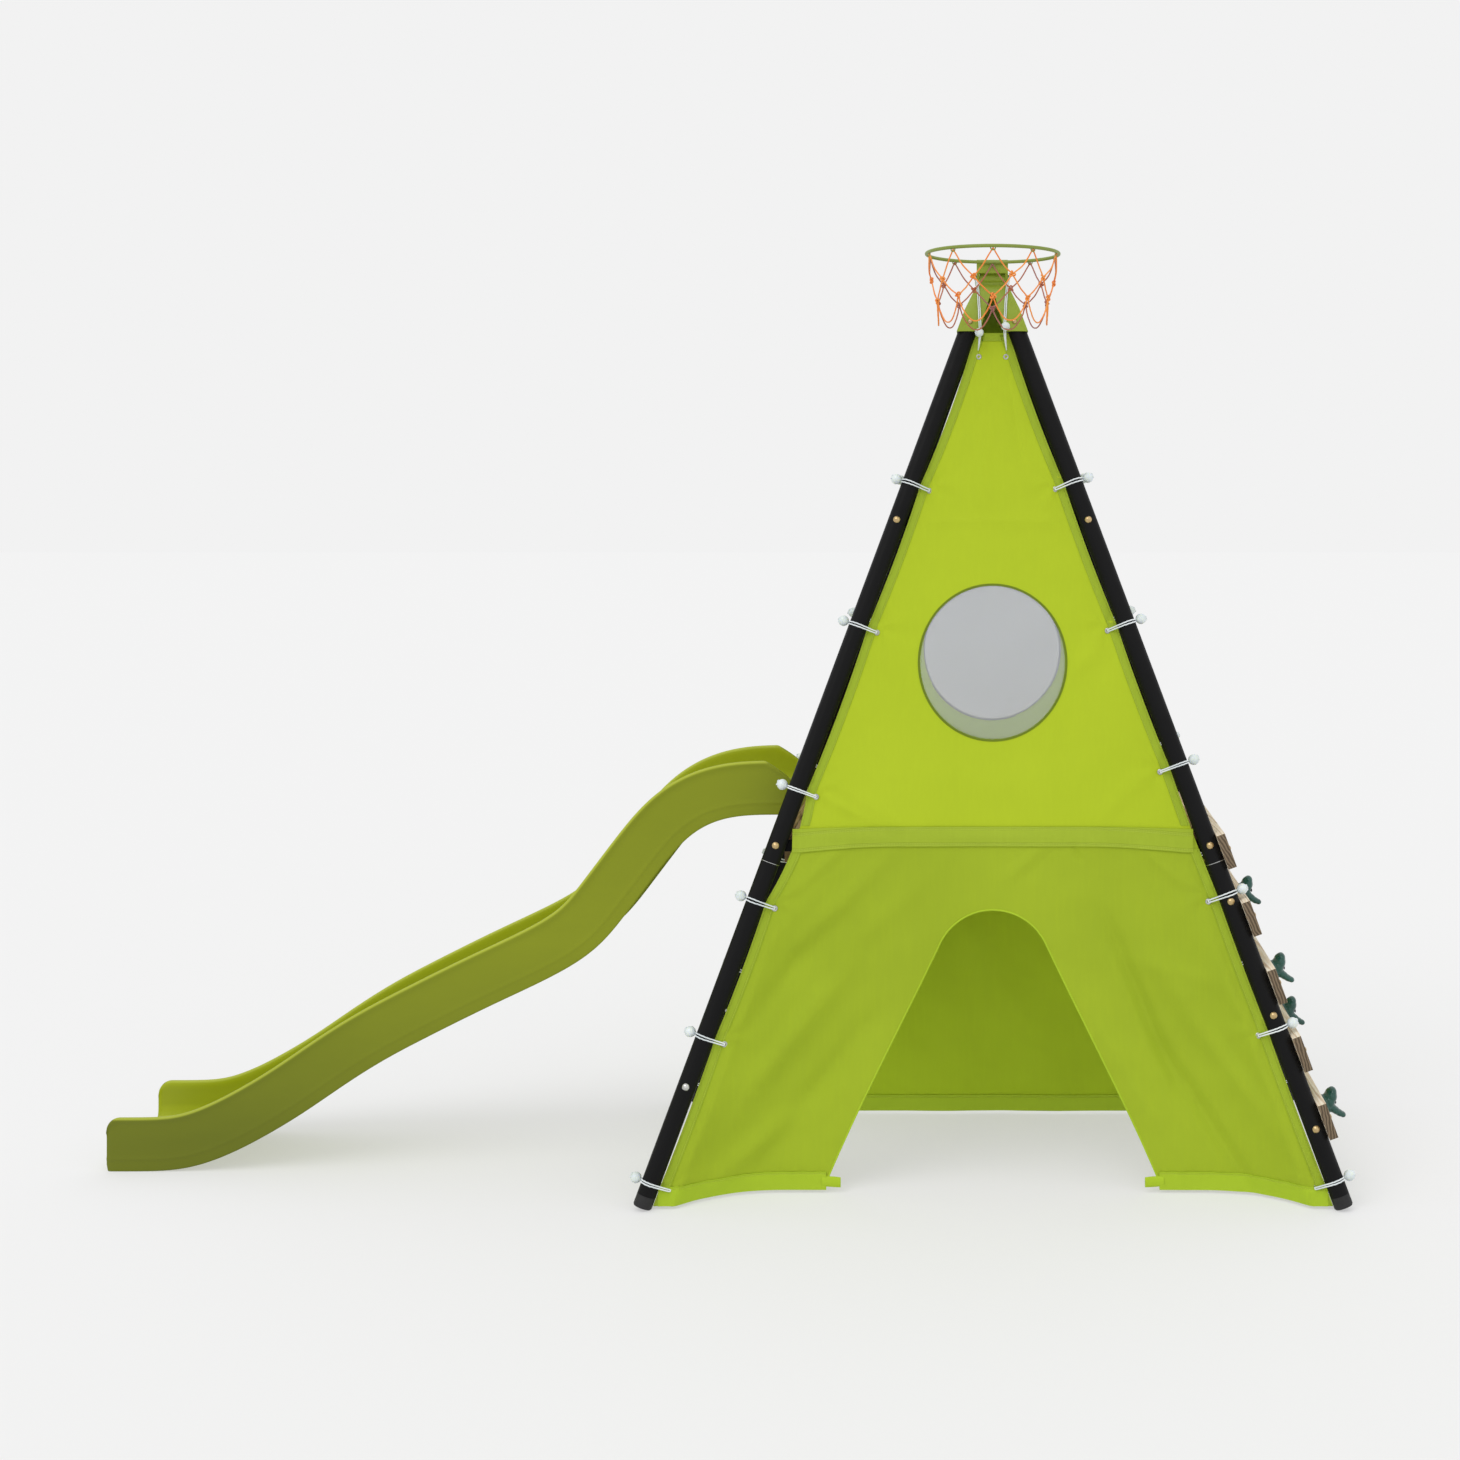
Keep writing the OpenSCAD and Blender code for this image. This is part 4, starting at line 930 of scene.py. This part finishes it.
def ties(back):
    """A face's elastic ties with their ball toggles and knots."""
    side = SIDES[back]
    cords, balls = Parts(), Parts()
    profile = [
        (0.0022, -0.0136), (0.0045, -0.0133), (0.0085, -0.0112), (0.0118, -0.0076), (0.0136, -0.0030),
        (0.0140, -0.0004), (0.0137, 0.0), (0.0140, 0.0004), (0.0136, 0.0034), (0.0120, 0.0075),
        (0.0090, 0.0109), (0.0052, 0.0131), (0.0040, 0.0128), (0.0034, 0.0100), (0.0022, 0.0090),
    ]
    ball = lathe(profile, 30)
    knot = sweep(smooth_path(knot_path(0.0028, 0.0045, 0.0018, 14), 3, True), 0.0018, 7, True)
    tilts = [3, -2, 1.5, -3, 2, -1, 0]
    for right, heights in ((False, TIES_LEFT), (True, TIES_RIGHT)):
        sign = 1 if right else -1
        for i, h in enumerate(heights[:-1]):
            m = on_leg(right, back, h)
            for path in tie_paths(0.0017 + 0.0006 * (i % 3)):
                cords.add(*sweep(smooth_path(path, 3), 0.0018, 7, False, 6, 500), m)
            m = m @ spin(radians(tilts[i]), 4, "X")
            turn = spin(pi / 2, 4, "Y") @ spin(0.9 * i, 4, "Z")
            balls.add(*ball, m @ shift((BALL_OUT, 0, 0)) @ turn)
            cords.add(*knot, m @ shift((BALL_OUT + 0.0122, 0, 0)) @ turn)
        top = on_leg(right, back, heights[-1]) @ Vector((-EYELET_IN, 0, 0))
        for path in top_tie_paths(top.x - FRAME_X + sign * 0.001, sign, back):
            cords.add(*sweep(smooth_path(path, 4), 0.0015, 7, False, 6, 500))
        at = (sign * 0.035 + FRAME_X, 0.0995 if back else -0.0995, 2.226 if right else 2.210)
        turn = spin(sign * 0.3, 4, "Y") @ Matrix.Scale(0.85, 4)
        balls.add(*ball, shift(at) @ turn)
    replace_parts(cords.make(f"{side}_tie_cords", ELASTIC, "tie_cord"), f"{side}_tie_loops")
    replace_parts(balls.make(f"{side}_balls", BALL, "tie_ball"), f"{side}_tie_balls")


def doorway():
    """The doorway's bound edge and the hem's sleeve ends at its feet."""
    hs = list(np.linspace(0.012, TOUCH_H, 50))
    over = np.linspace(TOUCH_A, pi - TOUCH_A, 34)[1:-1]
    pts = [(-float(door_x(h)), h) for h in hs]
    pts += [(-ARCH_R * cos(a), ARCH_H + ARCH_R * sin(a)) for a in over]
    pts += [(float(door_x(h)), h) for h in reversed(hs)]
    path = [Vector(to_world(x, h, float(drape(x, h, True, False)), False)) for x, h in pts]
    Parts().add(*sweep(path, 0.0024)).make("doorway_edge", HEM, "cover_fabric")
    # the sleeve's rings as (way in, half its thickness, half its height), outside and then inside
    rings = [(t, 0.0042, 0.0125) for t in (0.0, 0.012, 0.03, 0.044, 0.048)]
    rings += [(t, 0.0028, 0.0110) for t in (0.048, 0.020)]
    angles = np.linspace(0, 2 * pi, 21)[:-1]
    n = len(angles)
    tabs = Parts()
    for sign in (-1, 1):
        foot = sign * (float(door_x(0.03)) + 0.012)
        y = float(drape(foot, 0.031, True, False)) - 0.001
        verts, faces = [], []
        for t, thick, tall in rings:
            x, wave, spread = foot - sign * t + FRAME_X, 0.0012 * sin(90 * t), 1 + 0.1 * sin(60 * t)
            for a in angles:
                z = 0.0295 + sin(a) * tall * spread - 0.05 * t
                verts.append((x, y + cos(a) * thick + wave, z))
        for j in range(len(rings) - 1):
            for k in range(n):
                k2 = (k + 1) % n
                f = (j * n + k, j * n + k2, (j + 1) * n + k2, (j + 1) * n + k)
                faces.append(f if sign < 0 else tuple(reversed(f)))
        tabs.add(verts, faces)
    tabs.make("hem_sleeve_ends", HEM, "cover_fabric")


def tube_joints():
    """Bare steel edges where the upper tubes meet the lower ones."""
    inner, outer = TUBE_R - 0.0006, TUBE_R + 0.0003
    ring = lathe([(inner, -0.0010), (outer, -0.0007), (outer, 0.0007), (inner, 0.0010)], 40)
    parts = Parts()
    for right in (False, True):
        for back in (False, True):
            parts.add(*ring, on_leg(right, back, JOINT_H))
    parts.make("tube_joints", NICKEL, "frame_steel")


for is_back in (False, True):
    eyelets(is_back)
    ties(is_back)
    cover(is_back, window(is_back))
doorway()
tube_joints()

# ---------- slide ----------
# the slide's lower edge as (share of its run, share of its head's height)
SLIDE_LINE = [
    (0, 1), (0.035, 1), (0.07, 1), (0.11, 0.99), (0.16, 0.938), (0.235, 0.755), (0.285, 0.633),
    (0.345, 0.556), (0.45, 0.459), (0.53, 0.382), (0.60, 0.311), (0.66, 0.237), (0.72, 0.157),
    (0.79, 0.078), (0.84, 0.033), (0.885, 0.006), (0.93, 0), (1, 0),
]
SPANS = len(SLIDE_LINE) - 1
HEAD_X, HEAD_Z, RUN, WALL = 0.5138, 0.9371, 1.814, 0.142
BED_TOP, EXIT_ROUND = 0.045, 0.036
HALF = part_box("slide")[1].y


def slide_at(k):
    """Point of the slide's lower edge at k spans from its head."""
    i = min(SPANS - 1, int(k))
    p, q, r, s = [Vector(SLIDE_LINE[max(0, min(SPANS, i + n))]) for n in (-1, 0, 1, 2)]
    v = catmull(p, q, r, s, k - i)
    return Vector((-HEAD_X - RUN * v.x, max(0.0, HEAD_Z * v.y)))


def slide_course(step=0.004, ease=0.05):
    """Distances along the slide's lower edge and its points there, with the bends eased."""
    raw = np.array([slide_at(k) for k in np.linspace(0, SPANS, 900)])
    run = np.concatenate([[0], np.cumsum(np.hypot(*np.diff(raw, axis=0).T))])
    at = np.linspace(0, run[-1], int(run[-1] / step) + 1)
    pts = np.stack([np.interp(at, run, raw[:, i]) for i in (0, 1)], -1)
    reach = int(2.6 * ease / step)
    kernel = np.exp(-0.5 * (np.arange(-reach, reach + 1) * step / ease) ** 2)
    padded = np.concatenate([2 * pts[0] - pts[reach:0:-1], pts, 2 * pts[-1] - pts[-2:-reach - 2:-1]])
    eased_pts = [np.convolve(padded[:, i], kernel / kernel.sum(), "valid") for i in (0, 1)]
    return at, np.maximum(np.stack(eased_pts, -1), [-9, 0])


def slide_top(s, left):
    """Height of the side walls at s from the slide's head, with left still to go to its foot."""
    if left < EXIT_ROUND:
        return WALL - EXIT_ROUND + sqrt(max(0, EXIT_ROUND ** 2 - (EXIT_ROUND - left) ** 2))
    if s <= 0.02:
        return 0.066 + 0.03 * sqrt(clamp(s / 0.012))
    return min(WALL, 0.096 + (WALL - 0.096) * clamp((s - 0.02) / 0.062) ** 0.85)


def slide():
    """The moulded channel, drawn as one loop of (share of half width, height) along its course."""
    half = [
        (0.0, 0.031), (0.60, 0.031), (0.80, 0.0305), (0.90, 0.027), (0.945, 0.020), (0.957, 0.006),
        (0.960, 0.0015), (0.968, 0.0), (0.974, 0.0012), (0.976, 0.005), (0.976, 0.018), (0.977, 0.024),
        (0.980, 0.0285), (0.984, 0.031), (0.984, 0.0335), (0.980, 0.037), (0.977, 0.042), (0.976, 0.048),
        (0.975, 0.075), (0.975, 0.108), (0.977, 0.118), (0.984, 0.127), (0.993, 0.1305), (0.9985, 0.1345),
        (0.998, 0.1385), (0.988, 0.1412), (0.970, 0.142), (0.950, 0.1412), (0.938, 0.1385),
        (0.934, 0.1335), (0.938, 0.126), (0.941, 0.116), (0.940, 0.080), (0.934, 0.062),
        (0.920, 0.048), (0.895, 0.0405), (0.84, 0.0375), (0.60, 0.037), (0.30, 0.037), (0.0, 0.0372),
    ]
    loop = [half[-1]] + [(-y, h) for y, h in reversed(half[1:-1])] + half[:-1]
    ends = [0.0, 0.002, 0.005, 0.009, 0.014, 0.020, 0.03, 0.045, 0.06, 0.08, 0.10]
    along, course = slide_course()
    whole = float(along[-1])

    def point(d):
        d = min(whole, max(0.0, d))
        return Vector((float(np.interp(d, along, course[:, 0])), float(np.interp(d, along, course[:, 1]))))

    stations = list(np.linspace(0, whole, 250)) + ends + [whole - e for e in ends]
    stations = sorted({round(float(d), 4) for d in stations})
    verts, uvs, faces = [], [], []
    n = len(loop)
    for j, s in enumerate(stations):
        p = point(s)
        d = point(s + 0.004) - point(s - 0.004)
        normal = Vector((d.y, -d.x)).normalized()
        left = whole - s
        top = slide_top(s, left)
        tuck = 1.0 - 0.012 * clamp(1 - left / 0.01) - 0.010 * clamp(1 - s / 0.008)
        for y, h in loop:
            if h > BED_TOP:
                h = BED_TOP + (h - BED_TOP) * (top - BED_TOP) / (WALL - BED_TOP)
            if abs(y) < 0.93 and h < 0.0315 and (left < 0.007 or s < 0.005):
                h = 0.004
            at = p + normal * h
            x = at.x
            if left < 0.012:
                x += 0.004 * (1 - left / 0.012) * clamp((0.012 - h) / 0.012)
            verts.append((x + FRAME_X, y * HALF * tuck, max(0.0, at.y)))
            uvs.append((s, h))
        if j:
            faces += row_faces((j - 1) * n, j * n, n)
    faces.append(tuple(range(n)))
    faces.append(tuple(reversed(range(len(verts) - n, len(verts)))))
    obj = piece("moulded_slide", verts, faces, SLIDE_PLASTIC, "frame", uvs, 50)
    b = bmesh.new()
    b.from_mesh(obj.data)
    bmesh.ops.recalc_face_normals(b, faces=b.faces)
    b.to_mesh(obj.data)
    b.free()
    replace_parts(obj, "slide")


slide()


# ---------- climbing holds ----------
def ball_into(b, centre, radii, turn):
    """Adds a ball stretched to radii and tipped by turn."""
    made = bmesh.ops.create_icosphere(b, subdivisions=3, radius=1.0)["verts"]
    m = shift(centre) @ spin(turn, 4, "Y") @ Matrix.Diagonal((*radii, 1))
    bmesh.ops.transform(b, matrix=m, verts=made)


def hold_shape(kind):
    """One moulded hold: +X out of the slat, Z up the slope."""
    b = bmesh.new()
    wide = 1.0 + 0.12 * (kind % 2)
    lumps = [
        ((0.004, 0, 0.003), (0.009, 0.027, 0.025), 0.0),
        ((0.015, 0, 0.008), (0.016, 0.024, 0.022), 0.2),
        ((0.025, 0.001, 0.018), (0.0155, 0.024, 0.020), 0.35),
        ((0.031, -0.002, 0.027), (0.0115, 0.019, 0.013), 0.5),
        ((0.017, 0, -0.010), (0.0115, 0.018, 0.015), -0.35),
        ((0.023, 0, -0.020), (0.0098, 0.0165, 0.013), -0.55),
        ((0.030, 0.001, -0.030), (0.0086, 0.0155, 0.012), -0.75),
        ((0.037, 0.001, -0.037), (0.0074, 0.0140, 0.0085), -0.9),
    ]
    for centre, (rx, ry, rz), turn in lumps:
        ball_into(b, centre, (rx, ry * wide, rz), turn)
    mesh = bpy.data.meshes.new("hold")
    b.to_mesh(mesh)
    b.free()
    obj = placed("hold", mesh)
    melted = ("REMESH", {"mode": "VOXEL", "voxel_size": 0.0017})
    applied(obj, melted, ("SMOOTH", {"factor": 0.6, "iterations": 10}))
    points = [v.co.copy() for v in obj.data.vertices]
    faces = [tuple(p.vertices) for p in obj.data.polygons]
    bpy.data.objects.remove(obj)
    verts = []
    for v in points:
        r = hypot(v.y, v.z)
        if v.x > 0.024 and r < 0.0125:
            v = Vector((0.0265 + (v.x - 0.0265) * clamp((r - 0.0085) / 0.004), v.y, v.z))
        verts.append(Vector((max(v.x, 0.0002), v.y, v.z)))
    return verts, faces


def holds():
    """The four holds, each on its slat at its own distance from the front."""
    parts = Parts()
    heights, from_front = [0.692, 0.527, 0.365, 0.205], [0.300, 0.150, 0.370, 0.120]
    for i, (h, along) in enumerate(zip(heights, from_front)):
        m = on_side(h) @ shift((TUBE_R + 0.0003 + 0.022 + 0.0003, -(leg_y(h) + 0.034) + along, 0))
        parts.add(*hold_shape(i), m)
    obj = parts.make("holds", HOLD_PLASTIC, "hold_plastic", "frame", 180)
    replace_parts(obj, "climbing_holds")


holds()


# ---------- net ----------
def net():
    """Knotted net on the hoop's hooks: two rows of diamonds and a row of loops."""
    hooks = 10
    step = 360 / hooks
    rows = [
        (HOOP_R - 0.001, HOOP_Z - 0.0108), (0.158, HOOP_Z - 0.072),
        (0.149, HOOP_Z - 0.122), (0.140, HOOP_Z - 0.184),
    ]
    centre = Vector((FRAME_X, HOOP_Y, 0))
    parts = {True: Parts(), False: Parts()}
    knot = sweep(smooth_path(knot_path(0.0030, 0.0046, 0.0034, 18), 2, True), 0.0021, 8, True)

    def at(angle, r, z):
        a = radians(angle)
        return centre + Vector((r * cos(a), r * sin(a), z))

    def between(angle, upper, out, up):
        """A point halfway between two rows, moved out and up a little."""
        (r1, z1), (r2, z2) = rows[upper:upper + 2]
        return at(angle, (r1 + r2) / 2 + out, (z1 + z2) / 2 + up)

    # Near strands take the orange cord, and the far ones its painted-shade copy.
    def near(angle):
        return sin(radians(angle)) < 0.25

    def strand(pts, angle):
        parts[near(angle)].add(*sweep(smooth_path(pts, 7), 0.0018, 8, False, 3, 900))

    def lower_knot(i):
        return at((i + 0.5) * step, rows[2][0], rows[2][1] + 0.004 * sin(2.3 * (i % hooks)))

    for i in range(hooks):
        a = (i + 0.5) * step
        for side in (-1, 1):
            wave = 0.004 * sin(1.7 * (i + (side > 0)))
            k1 = at(a + side * step / 2, rows[1][0], rows[1][1] + wave)
            hook = at(a, rows[0][0] + 0.003 * side, rows[0][1] + 0.0046)
            middle = between(a + side * step * 0.24, 0, 0.002, -0.004)
            strand([hook, at(a + side * 1.2, *rows[0]), middle, k1], a)
            middle = between(a + side * step * 0.27, 1, -0.001, -0.003)
            strand([k1, middle, lower_knot(i)], a + side * step / 4)
        low_r, low_z = rows[3]
        loop_z = (rows[2][1] + low_z) / 2 + 0.004
        low = at(a + step / 2, low_r, low_z + 0.003 * sin(3.1 * i))
        strand(
            [
                lower_knot(i), at(a + step * 0.10, low_r + 0.006, loop_z),
                at(a + step * 0.30, low_r + 0.001, low_z + 0.008), low,
                at(a + step * 0.70, low_r + 0.001, low_z + 0.008),
                at(a + step * 0.90, low_r + 0.006, loop_z), lower_knot(i + 1),
            ],
            a + step / 2,
        )
        lifts = (0.004 * sin(1.7 * (i + 1)), 0.004 * sin(2.3 * i))
        for angle, (r, z), lift in zip((a + step / 2, a), rows[1:3], lifts):
            m = shift(at(angle, r, z + lift)) @ spin(radians(angle), 4, "Z")
            m = m @ spin(pi / 2, 4, "Y") @ spin(0.7 * i, 4, "Z")
            parts[near(angle)].add(*knot, m)
    front = parts[True].make("net_front", NET_FRONT, "net_cord", "hoop")
    parts[False].make("net_back_shaded", NET_BACK_SHADED, "net_cord", "hoop")
    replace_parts(front, "net")


net()

# ---------- floor, light ----------
floor = bpy.data.meshes.new("floor")
floor.from_pydata([(-60, -60, 0), (60, -60, 0), (60, 60, 0), (-60, 60, 0)], [], [(0, 1, 2, 3)])
ground = placed("floor", floor)
ground.location.z = -0.0005
plain = Look("floor", Roughness=0.95, Specular_IOR_Level=0.0)
plain.colour(plain.mix(plain.noise(2, 2), (0.402, 0.402, 0.402, 1), (0.404, 0.404, 0.404, 1)))
plain.bsdf.inputs["Emission Color"].default_value = (0.444, 0.444, 0.444, 1)
plain.bsdf.inputs["Emission Strength"].default_value = 1.0
floor.materials.append(plain.mat)

world = bpy.data.worlds.new("studio")
scene.world = world
world.use_nodes = True
world.node_tree.nodes["Background"].inputs["Color"].default_value = (0.888, 0.888, 0.888, 1)
world.node_tree.nodes["Background"].inputs["Strength"].default_value = 1.0
scene.view_settings.view_transform = "Standard"


def lamp(name, strength, soft, azimuth, elevation):
    """A distant lamp, soft degrees wide, from an azimuth and an elevation."""
    sun = bpy.data.lights.new(name, "SUN")
    sun.energy, sun.angle = strength, radians(soft)
    obj = placed(name, sun)
    a, e = radians(azimuth), radians(elevation)
    towards = -Vector((sin(a) * cos(e), -cos(a) * cos(e), sin(e)))
    obj.rotation_euler = towards.to_track_quat("-Z", "Y").to_euler()


lamp("key", 0.80, 40, -38, 50)
lamp("fill", 0.25, 70, 40, 35)
